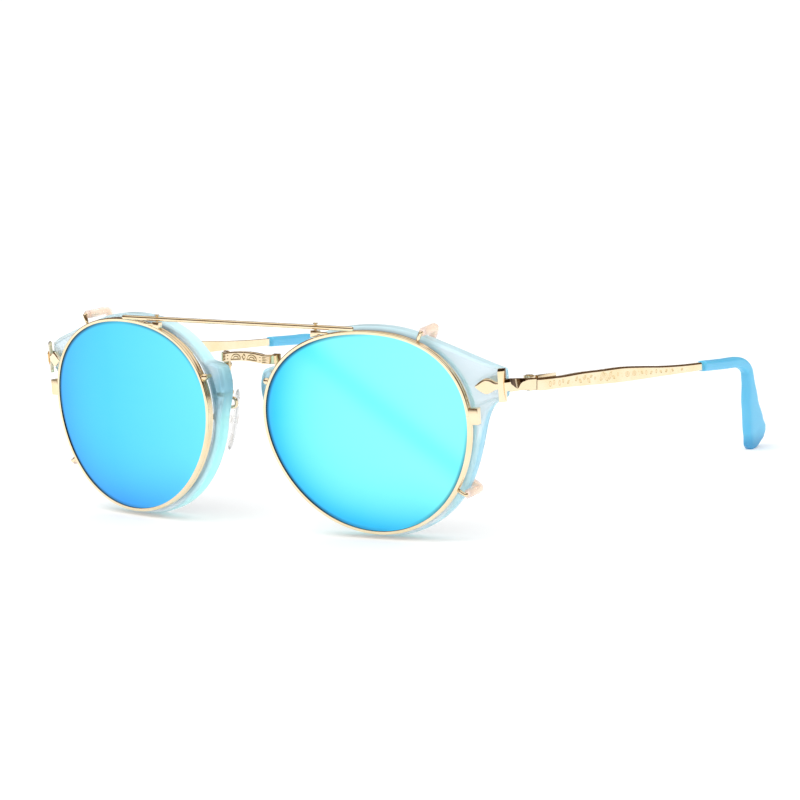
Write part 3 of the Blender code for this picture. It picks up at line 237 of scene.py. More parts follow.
UP = Vector((0, 0, 1))
OUT = Vector((1, 0, 0))
BACK = Vector((0, 1, 0))
EYE_CENTRE = Vector((LENS_SPACING / 2, EYE_SETBACK, 0))
EYE_OUT = Vector(
    (
        math.cos(WRAP_ANGLE),
        math.sin(WRAP_ANGLE) * math.cos(PANTOSCOPIC_ANGLE),
        math.sin(WRAP_ANGLE) * math.sin(PANTOSCOPIC_ANGLE),
    )
)
EYE_UP = Vector((0, -math.sin(PANTOSCOPIC_ANGLE), math.cos(PANTOSCOPIC_ANGLE)))
EYE_BACK = EYE_UP.cross(EYE_OUT)
LUG_END = LENS_HALF_WIDTH + LUG_REACH
FRONT_BACK = FRONT_DEPTH + FRONT_THICKNESS
MOUNT_BACK = FRONT_BACK + SEAT_GAP + MOUNT_THICKNESS
SIDES = ((1, "left"), (-1, "right"))


# Curves and sections


def ease(share):
    share = min(max(share, 0), 1)
    return share * share * (3 - 2 * share)


def bezier(start, pull_start, pull_end, end, count):
    points = []
    for k in range(count):
        t = k / (count - 1)
        s = 1 - t
        points.append(start * s**3 + pull_start * (3 * s * s * t) + pull_end * (3 * s * t * t) + end * t**3)
    return points


def smooth_route(points, steps):
    """A curve through points, with the given number of steps between each two."""
    ends = [points[0] * 2 - points[1], *points, points[-1] * 2 - points[-2]]
    route = []
    for a, b, c, d in zip(ends, ends[1:], ends[2:], ends[3:]):
        for k in range(steps):
            t = k / steps
            route.append(
                b
                + (c - a) * (t / 2)
                + (a * 2 - b * 5 + c * 4 - d) * (t * t / 2)
                + (b * 3 - a - c * 3 + d) * (t**3 / 2)
            )
    return [*route, points[-1]]


def rounded(corners, radius, steps=3):
    """A closed section with its corners drawn as small arcs, and a point on the flat beside each arc."""
    made = []
    for i, corner in enumerate(corners):
        before = corners[i - 1] - corner
        after = corners[(i + 1) % len(corners)] - corner
        start = corner + before.normalized() * min(radius, before.length * 0.4)
        end = corner + after.normalized() * min(radius, after.length * 0.4)
        made.append(start + (start - corner) * 0.2)
        for k in range(steps + 1):
            t = k / steps
            made.append(start * (1 - t) ** 2 + corner * (2 * t * (1 - t)) + end * t**2)
        made.append(end + (end - corner) * 0.2)
    return made


def rectangle(centre, across, up, half_width, half_height, radius):
    corners = ((-1, -1), (1, -1), (1, 1), (-1, 1))
    points = [centre + across * (half_width * a) + up * (half_height * b) for a, b in corners]
    return rounded(points, radius)


def strip_section(centre, shown, up, half_thickness, half_height, bevel, rows=1):
    """A flat strip's section: the top of its shown face slopes back over a bevel of this height and depth."""
    height, depth = bevel
    shares = (
        (-half_thickness, -half_height),
        (-half_thickness, half_height),
        (half_thickness - depth, half_height),
        (half_thickness, half_height - height),
        (half_thickness, -half_height),
    )
    points = rounded([centre + shown * out + up * rise for out, rise in shares], STRIP_EASE)
    each = len(points) // 5
    face = [points[4 * each - 1].lerp(points[4 * each], k / rows) for k in range(1, rows)]
    return [*points[: 4 * each], *face, *points[4 * each :]]


def oval(centre, across, up, half_width, half_height, sides, squareness=1.0):
    points = []
    for k in range(sides):
        turn = 2 * math.pi * (k + 0.5) / sides
        x = math.copysign(abs(math.cos(turn)) ** squareness, math.cos(turn))
        y = math.copysign(abs(math.sin(turn)) ** squareness, math.sin(turn))
        points.append(centre + across * (half_width * x) + up * (half_height * y))
    return points


def loft(sections, ring=False):
    """A skin over sections of equally many points, capped at its ends unless it closes on itself."""
    shape = bmesh.new()
    rows = [[shape.verts.new(point) for point in section] for section in sections]
    following = rows[1:] + rows[:1] if ring else rows[1:]
    for row, after in zip(rows, following):
        for i, corner in enumerate(row):
            j = (i + 1) % len(row)
            shape.faces.new((corner, row[j], after[j], after[i]))
    if not ring:
        shape.faces.new(rows[0])
        shape.faces.new(rows[-1])
    return shape


def box(centre, sizes, axes, radius):
    """A block with its edges eased."""
    x, y, z = (axis * (size / 2) for axis, size in zip(axes, sizes))
    sections = []
    for height, inset in ((-1, radius), (-1, radius * 0.3), (-1, 0), (1, 0), (1, radius * 0.3), (1, radius)):
        lift = z * height
        if inset == 0:
            lift -= z.normalized() * (radius * height)
        elif inset < radius:
            lift -= z.normalized() * (radius * 0.3 * height)
        half_x = x.length - inset
        half_y = y.length - inset
        sections.append(rectangle(centre + lift, x.normalized(), y.normalized(), half_x, half_y, radius))
    return loft(sections)


# The eye: its outline, the plastic round it and the lug


def eye_point(u, v, depth):
    """A point of the left eye: u outwards and v up from the lens centre, depth back from the clip's front."""
    return EYE_CENTRE + EYE_OUT * u + EYE_UP * v + EYE_BACK * depth


def lens_edge(angle):
    radius = (
        1
        + SINE_2_SHARE * math.sin(2 * angle)
        + SINE_3_SHARE * math.sin(3 * angle)
        + COSINE_3_SHARE * math.cos(3 * angle)
        + COSINE_4_SHARE * math.cos(4 * angle)
    )
    return Vector((LENS_HALF_WIDTH * radius * math.cos(angle), LENS_HALF_HEIGHT * radius * math.sin(angle)))


def edge_normal(angle):
    along = (lens_edge(angle + DERIVATIVE_STEP) - lens_edge(angle - DERIVATIVE_STEP)).normalized()
    return Vector((along.y, -along.x))


def outline(angle, offset):
    return lens_edge(angle) + edge_normal(angle) * offset


def rim_margin(angle):
    """How far the plastic reaches past the lens outline, with its swelling beside the nose."""
    turn = angle % (2 * math.pi)
    rise = ease((turn - SWELL_START) / (SWELL_PEAK - SWELL_START))
    fall = 1 - ease((turn - SWELL_PEAK) / (SWELL_END - SWELL_PEAK))
    top = math.cos(turn - TOP_ANGLE)
    outer = math.cos(turn - OUTER_ANGLE)
    thinning = (1 - TOP_MARGIN_SHARE) * ease(1.5 * top) + (1 - OUTER_MARGIN_SHARE) * ease(2.2 * outer - 1)
    return RIM_MARGIN * (1 - thinning) + NOSE_SWELL * rise * fall


def lug_share(u):
    return max(u - LENS_HALF_WIDTH, 0) ** 2 / LUG_REACH**2


def front_face(u):
    return FRONT_DEPTH + LUG_FRONT_SWEEP * lug_share(u)


def back_face(u):
    return FRONT_BACK + LUG_BACK_SWEEP * lug_share(u)


def lug_outline():
    """The lug's edge from the rim below it, round its two corners, to the rim above it."""
    low = outline(LUG_LOWER_ANGLE, rim_margin(LUG_LOWER_ANGLE))
    high = outline(LUG_UPPER_ANGLE, rim_margin(LUG_UPPER_ANGLE))
    low_normal = edge_normal(LUG_LOWER_ANGLE)
    high_normal = edge_normal(LUG_UPPER_ANGLE)
    low_along = Vector((-low_normal.y, low_normal.x))
    high_along = Vector((high_normal.y, -high_normal.x))
    low_corner = Vector((LUG_END - LUG_CORNER, LUG_BOTTOM))
    high_corner = Vector((LUG_END - LUG_CORNER, LUG_TOP))
    reach = (low_corner - low).length
    rise = (high_corner - high).length
    low_pull = low_corner - Vector((0.9, 0.42)) * (reach * 0.3)
    lower = bezier(low, low + low_along * (reach * 0.55), low_pull, low_corner, LUG_STATIONS + 1)
    high_pull = high_corner + Vector((-0.92, 0.38)) * (rise * 0.35)
    upper = bezier(high_corner, high_pull, high + high_along * (rise * 0.35), high, LUG_STATIONS + 1)
    end = []
    for corner, side, turns in ((low_corner, 1, range(-72, 1, 12)), (high_corner, -1, range(0, 73, 12))):
        pivot = corner + Vector((0, LUG_CORNER * side))
        for angle in (math.radians(turn) for turn in turns):
            end.append(pivot + Vector((math.cos(angle), math.sin(angle))) * LUG_CORNER)
    return [*lower, *end, *upper]


def front_stations():
    """Each station's angle on the opening, the (u, v) of the plastic's outer edge, and its way inwards."""
    lug = lug_outline()
    span = LUG_UPPER_ANGLE - LUG_LOWER_ANGLE
    pairs = []
    for k, point in enumerate(lug):
        even = LUG_LOWER_ANGLE + span * k / (len(lug) - 1)
        facing = math.atan2(point.y / LENS_HALF_HEIGHT, point.x / LENS_HALF_WIDTH)
        pairs.append((facing + (even - facing) * LUG_EVEN_SHARE, point))
    stretches = (
        (LUG_UPPER_ANGLE, SWELL_START, 0.32),
        (SWELL_START, SWELL_PEAK, 0.08),
        (SWELL_PEAK, SWELL_END, 0.12),
        (SWELL_END, LUG_LOWER_ANGLE + 2 * math.pi, 0.48),
    )
    for start, end, share in stretches:
        count = round(FREE_STATIONS * share)
        angles = [start + (end - start) * (k + 1) / count for k in range(count)]
        pairs += [(angle, outline(angle, rim_margin(angle))) for angle in angles]
    pairs.pop()
    stations = []
    for i, (angle, outer) in enumerate(pairs):
        along = (pairs[(i + 1) % len(pairs)][1] - pairs[i - 1][1]).normalized()
        stations.append((angle, outer, Vector((-along.y, along.x))))
    return stations


def front_section(angle, outer, inward):
    """The plastic's section at one station, from the groove for the lens round to the front."""
    inner = outline(angle, -APERTURE_INSET)
    eased = outer + inward * RIM_CHAMFER
    entry = inner + edge_normal(angle) * RIM_CHAMFER
    groove = outline(angle, LENS_GROOVE - APERTURE_INSET)
    middle = FRONT_DEPTH + FRONT_THICKNESS / 2
    half_groove = LENS_THICKNESS / 2 + FINE_GAP
    front = front_face(outer.x)
    back = back_face(outer.x)
    corners = (
        (inner, FRONT_DEPTH + RIM_CHAMFER),
        (inner, middle - half_groove),
        (groove, middle - half_groove),
        (groove, middle + half_groove),
        (inner, middle + half_groove),
        (inner, FRONT_BACK - RIM_CHAMFER),
        (entry, FRONT_BACK),
        (eased, back),
        (outer, back - RIM_CHAMFER),
        (outer, front + RIM_CHAMFER),
        (eased, front),
        (entry, FRONT_DEPTH),
    )
    return [eye_point(place.x, place.y, depth) for place, depth in corners]


def lens_shares():
    """The lens's rings as shares of its outline, close together near the edge."""
    return [math.sin(math.radians(k * 90 / LENS_RINGS)) for k in range(1, LENS_RINGS + 1)]


def lens_body(edge_offset, front, thickness, bulge, width_share=1.0):
    """A lens with the eye's outline, both of its faces swelling forwards by bulge at the centre."""
    angles = [2 * math.pi * k / EYE_STATIONS for k in range(EYE_STATIONS)]
    levels = [(share, front - bulge * (1 - share**2)) for share in lens_shares()]
    levels += [(share, front + thickness - bulge * (1 - share**2)) for share in reversed(lens_shares())]
    shape = bmesh.new()
    rings = []
    for share, depth in levels:
        ring = [outline(angle, edge_offset) * share for angle in angles]
        rings.append([shape.verts.new(eye_point(p.x * width_share, p.y, depth)) for p in ring])
    for ring, after in zip(rings, rings[1:]):
        for i in range(EYE_STATIONS):
            j = (i + 1) % EYE_STATIONS
            shape.faces.new((ring[i], ring[j], after[j], after[i]))
    for ring, depth in ((rings[0], front - bulge), (rings[-1], front + thickness - bulge)):
        centre = shape.verts.new(eye_point(0, 0, depth))
        for i in range(EYE_STATIONS):
            shape.faces.new((ring[i], ring[(i + 1) % EYE_STATIONS], centre))
    return shape


# Where the hinge, the temples and the clip's fittings stand


def butt_place():
    lug = eye_point(LUG_END, PLATE_HEIGHT, front_face(LUG_END))
    plane = lug.x + SEAT_GAP + PLATE_THICKNESS / 2 - TEMPLE_THICKNESS / 2
    return Vector((plane, lug.y + ARM_LENGTH, lug.z - ARM_FALL))


def hinge_place():
    butt = butt_place()
    inside = butt.x - TEMPLE_THICKNESS / 2 - FINE_GAP / 2 - KNUCKLE_RADIUS
    return Vector((inside, butt.y + SEAT_GAP + HINGE_SETBACK, butt.z))


def temple_point(along, rise=0.0):
    butt = butt_place()
    return Vector((butt.x, butt.y + SEAT_GAP + along, butt.z - along * math.sin(TEMPLE_SLOPE) + rise))


def pad_axes():
    """The pad's directions: across its width, up along it, and out of its skin side."""
    skin = Vector((math.cos(PAD_FACING), math.sin(PAD_FACING), 0))
    across = Vector((math.sin(PAD_FACING), -math.cos(PAD_FACING), 0))
    lean = Matrix.Rotation(PAD_LEAN, 3, across)
    return across, lean @ UP, lean @ skin


def pad_pin_place():
    return PAD_PLACE - pad_axes()[2] * (PAD_HALF_THICKNESS + BOSS_LENGTH / 2)


def mount_place():
    return outline(SWELL_PEAK, RIM_MARGIN + NOSE_SWELL * 0.45).x


def clip_frame(angle, offset, depth):
    place = outline(angle, offset)
    normal = edge_normal(angle)
    return eye_point(place.x, place.y, depth), EYE_OUT * normal.x + EYE_UP * normal.y


def bar_line():
    foot = clip_frame(BLOCK_ANGLE, CLIP_RIM_WIDTH, 0)[0]
    return Vector((foot.x, foot.y, BAR_RISE)), foot


def standing():
    """How the worn pair is stood on the floor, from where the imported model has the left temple's hinge."""
    hinge = next(joint for joint in frame["joints"] if joint["name"] == "temple_hinge_left")
    axis = Vector(hinge["axis"])
    turn = Matrix.Rotation(math.atan2(-axis.y, axis.z), 3, "X")
    return Matrix.Translation(Vector(hinge["pos_m"]) - turn @ hinge_place()) @ turn.to_4x4()


STANDING = standing()


# Materials


def linear(hex_colour):
    """An sRGB colour written as six hex digits, as linear red, green, blue and 1."""
    levels = [int(hex_colour[k : k + 2], 16) / 255 for k in (0, 2, 4)]
    return (*[x / 12.92 if x <= 0.04045 else ((x + 0.055) / 1.055) ** 2.4 for x in levels], 1)


def add_node(tree, kind, settings=None, inputs=None):
    """Adds a node with its settings, and its inputs as values or as other nodes' outputs."""
    made = tree.nodes.new(kind)
    for key, value in (settings or {}).items():
        setattr(made, key, value)
    for key, value in (inputs or {}).items():
        if isinstance(value, bpy.types.NodeSocket):
            tree.links.new(value, made.inputs[key])
        else:
            made.inputs[key].default_value = value
    return made


def result(tree, kind, inputs=None, **settings):
    """The first output of a new node."""
    return add_node(tree, kind, settings, inputs).outputs[0]


def math_of(tree, operation, *terms):
    """What a Math node makes of its terms."""
    return result(tree, "ShaderNodeMath", dict(enumerate(terms)), operation=operation)


def ramp(tree, value, low, high, start, end, kind="LINEAR"):
    """The value, carried over from the span low to high to the span start to end."""
    inputs = {"Value": value, "From Min": low, "From Max": high, "To Min": start, "To Max": end}
    return result(tree, "ShaderNodeMapRange", inputs, interpolation_type=kind)


def new_material(name, **constants):
    """A material with constants on its Principled shader, whose sockets are named with _ for spaces."""
    made = bpy.data.materials.new(name)
    made.use_nodes = True
    tree = made.node_tree
    shader = tree.nodes["Principled BSDF"]
    for key, value in constants.items():
        shader.inputs[key.replace("_", " ")].default_value = value
    return made, tree, shader


def feed(tree, shader, **sources):
    """Links other nodes' outputs to a shader, whose sockets are named with _ for spaces."""
    for key, source in sources.items():
        tree.links.new(source, shader.inputs[key.replace("_", " ")])


def grain(tree, millimetres, low, high):
    """A value that wanders between low and high over patches of about so many millimetres."""
    place = add_node(tree, "ShaderNodeTexCoord").outputs["Object"]
    inputs = {"Vector": place, "Scale": 1000 / millimetres, "Detail": 2.0}
    noise = add_node(tree, "ShaderNodeTexNoise", inputs=inputs)
    return ramp(tree, noise.outputs["Fac"], 0.3, 0.7, low, high)


def blend(tree, share, first, second):
    """A colour between two: each is a hex colour or another node's output."""
    picked = [linear(c) if isinstance(c, str) else c for c in (first, second)]
    mixed = add_node(tree, "ShaderNodeMix", {"data_type": "RGBA"}, {0: share, 6: picked[0], 7: picked[1]})
    return mixed.outputs[2]


def reading(tree, name):
    """A value that the mesh itself carries."""
    return add_node(tree, "ShaderNodeAttribute", {"attribute_name": name}).outputs["Fac"]


def mottled(tree, millimetres, first, second):
    return blend(tree, grain(tree, millimetres, 0, 1), first, second)


def layered(tree, tone, *layers):
    """The tone under other colours, each laid on where the mesh's own value of that name says."""
    for name, colour in layers:
        tone = blend(tree, reading(tree, name), tone, colour)
    return tone


def toned(name, tones, patch, polish=None, polish_patch=1, **constants):
    """A material between two tones and two polishes, over patches of so many millimetres."""
    made, tree, shader = new_material(name, **constants)
    feed(tree, shader, Base_Color=mottled(tree, patch, *tones))
    if polish:
        feed(tree, shader, Roughness=grain(tree, polish_patch, *polish))
    return made


def gold_plate():
    """Champagne gold plating, tumbled bright: nearly white in light, brown where it mirrors dark, with a
    painted dark brown reflection laid on where the mesh says.
    """
    made, tree, shader = new_material("champagne_gold_plate", Metallic=1.0)
    plate = mottled(tree, 6, "F9E6C6", "F5DCB2")
    # 6B5138 is a painted dark brown reflection, laid on the corner's scoop and beside its bar
    tone = layered(tree, plate, ("engraved", "D6BE84"), ("painted_dark_reflection", "6B5138"))
    worn = math_of(tree, "MULTIPLY_ADD", reading(tree, "engraved"), 0.25, grain(tree, 0.6, 0.10, 0.20))
    feed(tree, shader, Base_Color=tone, Roughness=worn)
    return made


def acetate():
    """Pale aqua acetate, polished: milky-clear faces, side walls painted a deeper aqua as a painted glow of
    the light they carry, and painted light and shade on the tops, the outward walls, the walls toward the
    nose and beside the pad.
    """
    made, tree, shader = new_material("aqua_acetate", IOR=1.49, Specular_IOR_Level=0.12)
    face = mottled(tree, 7, "EDF7FD", "E5F3FB")
    # The side walls are painted a deeper aqua, a painted glow for the light carried to the edges, and the
    # outward walls a painted shade (A6D8EE)
    side = layered(tree, mottled(tree, 5, "BCF2F0", "B4ECEE"), ("painted_flank_shade", "A6D8EE"))
    edge_on = reading(tree, "edge_on")
    painted_nasal_glow = reading(tree, "painted_nasal_glow")
    clear = math_of(tree, "MULTIPLY_ADD", edge_on, -0.3, 0.6)
    plain = blend(tree, edge_on, face, side)
    # Upward faces take painted light (CFE9F0), and the patch beside the pad painted shade (8CC6DA)
    feed(
        tree,
        shader,
        Base_Color=layered(tree, plain, ("crown", "CFE9F0"), ("pad_socket", "8CC6DA")),
        Transmission_Weight=math_of(tree, "MULTIPLY_ADD", reading(tree, "crown"), -0.35, clear),
        # The walls facing toward the nose glow: a painted glow, given as emission
        Emission_Color=blend(tree, painted_nasal_glow, "D8F4F8", "84E6E2"),
        Emission_Strength=math_of(tree, "MULTIPLY_ADD", painted_nasal_glow, 0.26, 0.02),
        Roughness=grain(tree, 1.2, 0.06, 0.16),
    )
    return made


def mirror_coat():
    """Vacuum-coated mirror on tinted lenses: aqua, with painted reflections that turn it pale cyan, blue
    towards the edges and banded, and painted shade under the rim's lip.
    """
    constants = {"Metallic": 1.0, "Coat_Weight": 0.3, "Coat_Roughness": 0.02}
    made, tree, shader = new_material("aqua_mirror_coating", **constants)
    # Pale cyan 86F7FB, band 2CD8F4 and blue 3FA4FA are painted reflections; 1C5878 is painted shade under the
    # lip
    tone = layered(tree, "4CC8EC", ("coat_warmth", "86F7FB"), ("coat_band", "2CD8F4"))
    tone = layered(tree, tone, ("coat_thin", "3FA4FA"), ("lip_shade", "1C5878"))
    feed(tree, shader, Base_Color=tone, Roughness=grain(tree, 3, 0.04, 0.06))
    return made


def tip_rubber():
    """Sky blue tips, tumbled: even colour with a soft gloss, and a painted shade towards the lowest part."""
    constants = {"IOR": 1.49, "Subsurface_Weight": 0.15, "Subsurface_Scale": 0.001}
    made, tree, shader = new_material("sky_blue_tip", **constants)
    tone = layered(tree, mottled(tree, 9, "5DBDE6", "67C3E9"), ("painted_heel_shade", "3C93C4"))
    feed(tree, shader, Base_Color=tone, Roughness=grain(tree, 5, 0.30, 0.36))
    return made


GOLD = gold_plate()
# Turned brass screws, flash plated: a little darker than the plate, with fine lathe marks
SCREW = toned("turned_brass_screw", ("E9CF9E", "D9B97F"), 0.3, (0.18, 0.32), 0.2, Metallic=1.0)
ACETATE = acetate()
MIRROR = mirror_coat()
# The mirror's back: grey tint, dark and glossy from behind
SMOKE = toned("smoke_tint", ("4A5A62", "556872"), 9, Roughness=0.06, IOR=1.58, Coat_Weight=0.5)
# The clear lenses, with a hard polish
RESIN = toned("clear_lens_resin", ("FAFDFD", "F4FAFB"), 12, Roughness=0.0, IOR=1.5, Transmission_Weight=1.0)
TIP = tip_rubber()
# Clear silicone with a satin skin
SATIN = {"IOR": 1.33, "Transmission_Weight": 1.0}
SILICONE = toned("clear_silicone", ("FEFDFC", "F9F8F6"), 3, (0.25, 0.38), 0.5, **SATIN)
# Clear vinyl tube slipped over the claws, gone faintly pink, with a faint painted glow given as emission
PINK = {"IOR": 1.4, "Transmission_Weight": 0.6, "Specular_IOR_Level": 0.15}
# The emission is a painted glow that keeps the tube pale
PINK |= {"Emission_Strength": 0.12, "Emission_Color": linear("FFEAE0")}
VINYL = toned("clear_vinyl_tube", ("FEF8F4", "FCF0EA"), 1.5, (0.12, 0.28), 0.5, **PINK)


# Turning shapes into pieces


def placed(name, data):
    """A new object in the scene."""
    made = bpy.data.objects.new(name, data)
    bpy.context.collection.objects.link(made)
    return made


def mirror(mesh):
    mesh.transform(Matrix.Diagonal((-1, 1, 1, 1)))
    mesh.flip_normals()


def settle(name, mesh, side, body, nodes):
    """Makes the mesh a piece: mirrored for the right, stood on the floor, riding on its body."""
    if side < 0:
        mirror(mesh)
    if body == "clip":
        mesh.transform(Matrix.Translation(-BACK * CLIP_FORWARD))
    mesh.transform(STANDING)
    mesh.name = name
    made = placed(name, mesh)
    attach(made, body)
    if nodes:
        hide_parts(*nodes)
    return made


def mesh_of(shapes, *surfaces):
    """One smooth mesh of all the shapes, faces outwards, sharp where it turns by more than an eased edge."""
    whole = bmesh.new()
    for shape in shapes:
        bmesh.ops.recalc_face_normals(shape, faces=shape.faces)
        part = bpy.data.meshes.new("shape")
        shape.to_mesh(part)
        shape.free()
        whole.from_mesh(part)
        bpy.data.meshes.remove(part)
    mesh = bpy.data.meshes.new("piece")
    whole.to_mesh(mesh)
    whole.free()
    for surface in surfaces:
        mesh.materials.append(surface)
    mesh.shade_smooth()
    mesh.set_sharp_from_angle(angle=SMOOTH_ANGLE)
    return mesh


def carry(mesh, name, values, kind="FLOAT"):
    """Gives the mesh a value, or a vector, at each point."""
    attribute = mesh.attributes.new(name, kind, "POINT")
    field = "value" if kind == "FLOAT" else "vector"
    attribute.data.foreach_set(field, np.asarray(values, np.float32).ravel())


def points_of(mesh, field="co"):
    """The place of each of the mesh's points, or its normal."""
    points = np.empty(len(mesh.vertices) * 3, np.float32)
    mesh.vertices.foreach_get(field, points)
    return points.reshape(-1, 3).astype(float)


def worked(holder):
    """The holder's mesh as its modifiers leave it; the holder goes."""
    holder.update_tag()
    graph = bpy.context.evaluated_depsgraph_get()
    made = bpy.data.meshes.new_from_object(holder.evaluated_get(graph))
    holder.modifiers.clear()
    bpy.data.objects.remove(holder)
    return made


def grown(mesh, tree, **sizes):
    """The mesh after a geometry tree has worked on it with these sizes."""
    holder = placed("holder", mesh)
    modifier = holder.modifiers.new("grow", "NODES")
    modifier.node_group = tree
    for item in tree.interface.items_tree:
        word = item.name.lower().replace(" ", "_")
        if item.in_out == "INPUT" and word in sizes:
            modifier[item.identifier] = sizes[word]
    return worked(holder)


def new_tree(name, **sizes):
    """A geometry tree whose named inputs have these defaults, and the outputs to link from."""
    tree = bpy.data.node_groups.new(name, "GeometryNodeTree")
    tree.interface.new_socket("Geometry", in_out="INPUT", socket_type="NodeSocketGeometry")
    tree.interface.new_socket("Geometry", in_out="OUTPUT", socket_type="NodeSocketGeometry")
    for key, value in sizes.items():
        kind = {int: "NodeSocketInt", float: "NodeSocketFloat"}.get(type(value), "NodeSocketObject")
        socket = tree.interface.new_socket(key.replace("_", " "), in_out="INPUT", socket_type=kind)
        if value is not None:
            socket.default_value = value
    tree.interface.new_socket("Surface", in_out="INPUT", socket_type="NodeSocketMaterial")
    start = tree.nodes.new("NodeGroupInput")
    return tree, start.outputs


def end_tree(tree, geometry, surface):
    """The end of each tree: its copies made real and given their material."""
    real = result(tree, "GeometryNodeRealizeInstances", {"Geometry": geometry})
    finished = result(tree, "GeometryNodeSetMaterial", {"Geometry": real, "Material": surface})
    add_node(tree, "NodeGroupOutput", inputs={"Geometry": finished})
    return tree


def carried(tree, name, kind="FLOAT"):
    """A value, or a vector, that the mesh carries at each point."""
    return result(tree, "GeometryNodeInputNamedAttribute", {"Name": name}, data_type=kind)


def shape_of(tree, item):
    """The shape of an object that the tree is given."""
    return add_node(tree, "GeometryNodeObjectInfo", inputs={"Object": item}).outputs["Geometry"]


def wire_tree():
    """A drawn wire along the mesh's edges, as thick at each point as the mesh's own girth says."""
    tree, given = new_tree("drawn_wire", Sides=20)
    line = result(tree, "GeometryNodeMeshToCurve", {"Mesh": given["Geometry"]})
    girth = carried(tree, "girth")
    thick = result(tree, "GeometryNodeSetCurveRadius", {"Curve": line, "Radius": girth})
    sizes = {"Resolution": given["Sides"], "Radius": 1.0}
    circle = result(tree, "GeometryNodeCurvePrimitiveCircle", sizes)
    inputs = {"Curve": thick, "Profile Curve": circle, "Fill Caps": True}
    swept = add_node(tree, "GeometryNodeCurveToMesh", inputs=inputs)
    if "Scale" in swept.inputs:
        tree.links.new(girth, swept.inputs["Scale"])
    smooth = result(tree, "GeometryNodeSetShadeSmooth", {"Geometry": swept.outputs["Mesh"]})
    return end_tree(tree, smooth, given["Surface"])


def eyewire_tree():
    """The clip's eyewire: the eye's rule gives its path, and a drawn section is swept along it."""
    sizes = {"Half_Width": 0.025, "Half_Height": 0.023, "Start": 0.0, "Sweep": 6.28, "Stations": 200}
    tree, given = new_tree("eyewire", **sizes, Section=None)
    line = result(tree, "GeometryNodeMeshLine", {"Count": given["Stations"]})
    last = math_of(tree, "SUBTRACT", given["Stations"], 1.0)
    share = math_of(tree, "DIVIDE", result(tree, "GeometryNodeInputIndex"), last)
    angle = math_of(tree, "MULTIPLY_ADD", share, given["Sweep"], given["Start"])
    radius = 1.0
    waves = (
        ("SINE", 2.0, SINE_2_SHARE),
        ("SINE", 3.0, SINE_3_SHARE),
        ("COSINE", 3.0, COSINE_3_SHARE),
        ("COSINE", 4.0, COSINE_4_SHARE),
    )
    for wave, times, size in waves:
        height = math_of(tree, wave, math_of(tree, "MULTIPLY", angle, times))
        radius = math_of(tree, "MULTIPLY_ADD", height, size, radius)
    axes = []
    for wave, half in (("COSINE", "Half Width"), ("SINE", "Half Height")):
        out = math_of(tree, "MULTIPLY", math_of(tree, wave, angle), radius)
        axes.append(math_of(tree, "MULTIPLY", out, given[half]))
    place = result(tree, "ShaderNodeCombineXYZ", {"X": axes[0], "Y": axes[1]})
    bent = result(tree, "GeometryNodeSetPosition", {"Geometry": line, "Position": place})
    path = result(tree, "GeometryNodeMeshToCurve", {"Mesh": bent})
    flat = result(tree, "GeometryNodeSetCurveNormal", {"Curve": path}, mode="Z_UP")
    section = result(tree, "GeometryNodeMeshToCurve", {"Mesh": shape_of(tree, given["Section"])})
    inputs = {"Curve": flat, "Profile Curve": section, "Fill Caps": True}
    swept = result(tree, "GeometryNodeCurveToMesh", inputs)
    smooth = result(tree, "GeometryNodeSetShadeSmooth", {"Geometry": swept})
    return end_tree(tree, smooth, given["Surface"])


def engraving_tree():
    """Cuts grooves wherever a drawn stroke runs close under a face, and says where the grooves are."""
    tree, given = new_tree("engraving", Strokes=None, Groove_Half_Width=0.00012, Groove_Depth=0.00008)
    strokes = {0: shape_of(tree, given["Strokes"])}
    near = add_node(tree, "GeometryNodeProximity", {"target_element": "EDGES"}, strokes).outputs["Distance"]
    groove = ramp(tree, near, 0.0, given["Groove Half Width"], 1.0, 0.0, "SMOOTHSTEP")
    depth = math_of(tree, "MULTIPLY", groove, given["Groove Depth"])
    outward = result(tree, "GeometryNodeInputNormal")
    inward = result(tree, "ShaderNodeVectorMath", {0: outward, "Scale": -1.0}, operation="SCALE")
    move = result(tree, "ShaderNodeVectorMath", {0: inward, "Scale": depth}, operation="SCALE")
    inputs = {"Geometry": given["Geometry"], "Name": "engraved", "Value": groove}
    marked = result(tree, "GeometryNodeStoreNamedAttribute", inputs, data_type="FLOAT", domain="POINT")
    cut = result(tree, "GeometryNodeSetPosition", {"Geometry": marked, "Offset": move})
    return end_tree(tree, cut, given["Surface"])


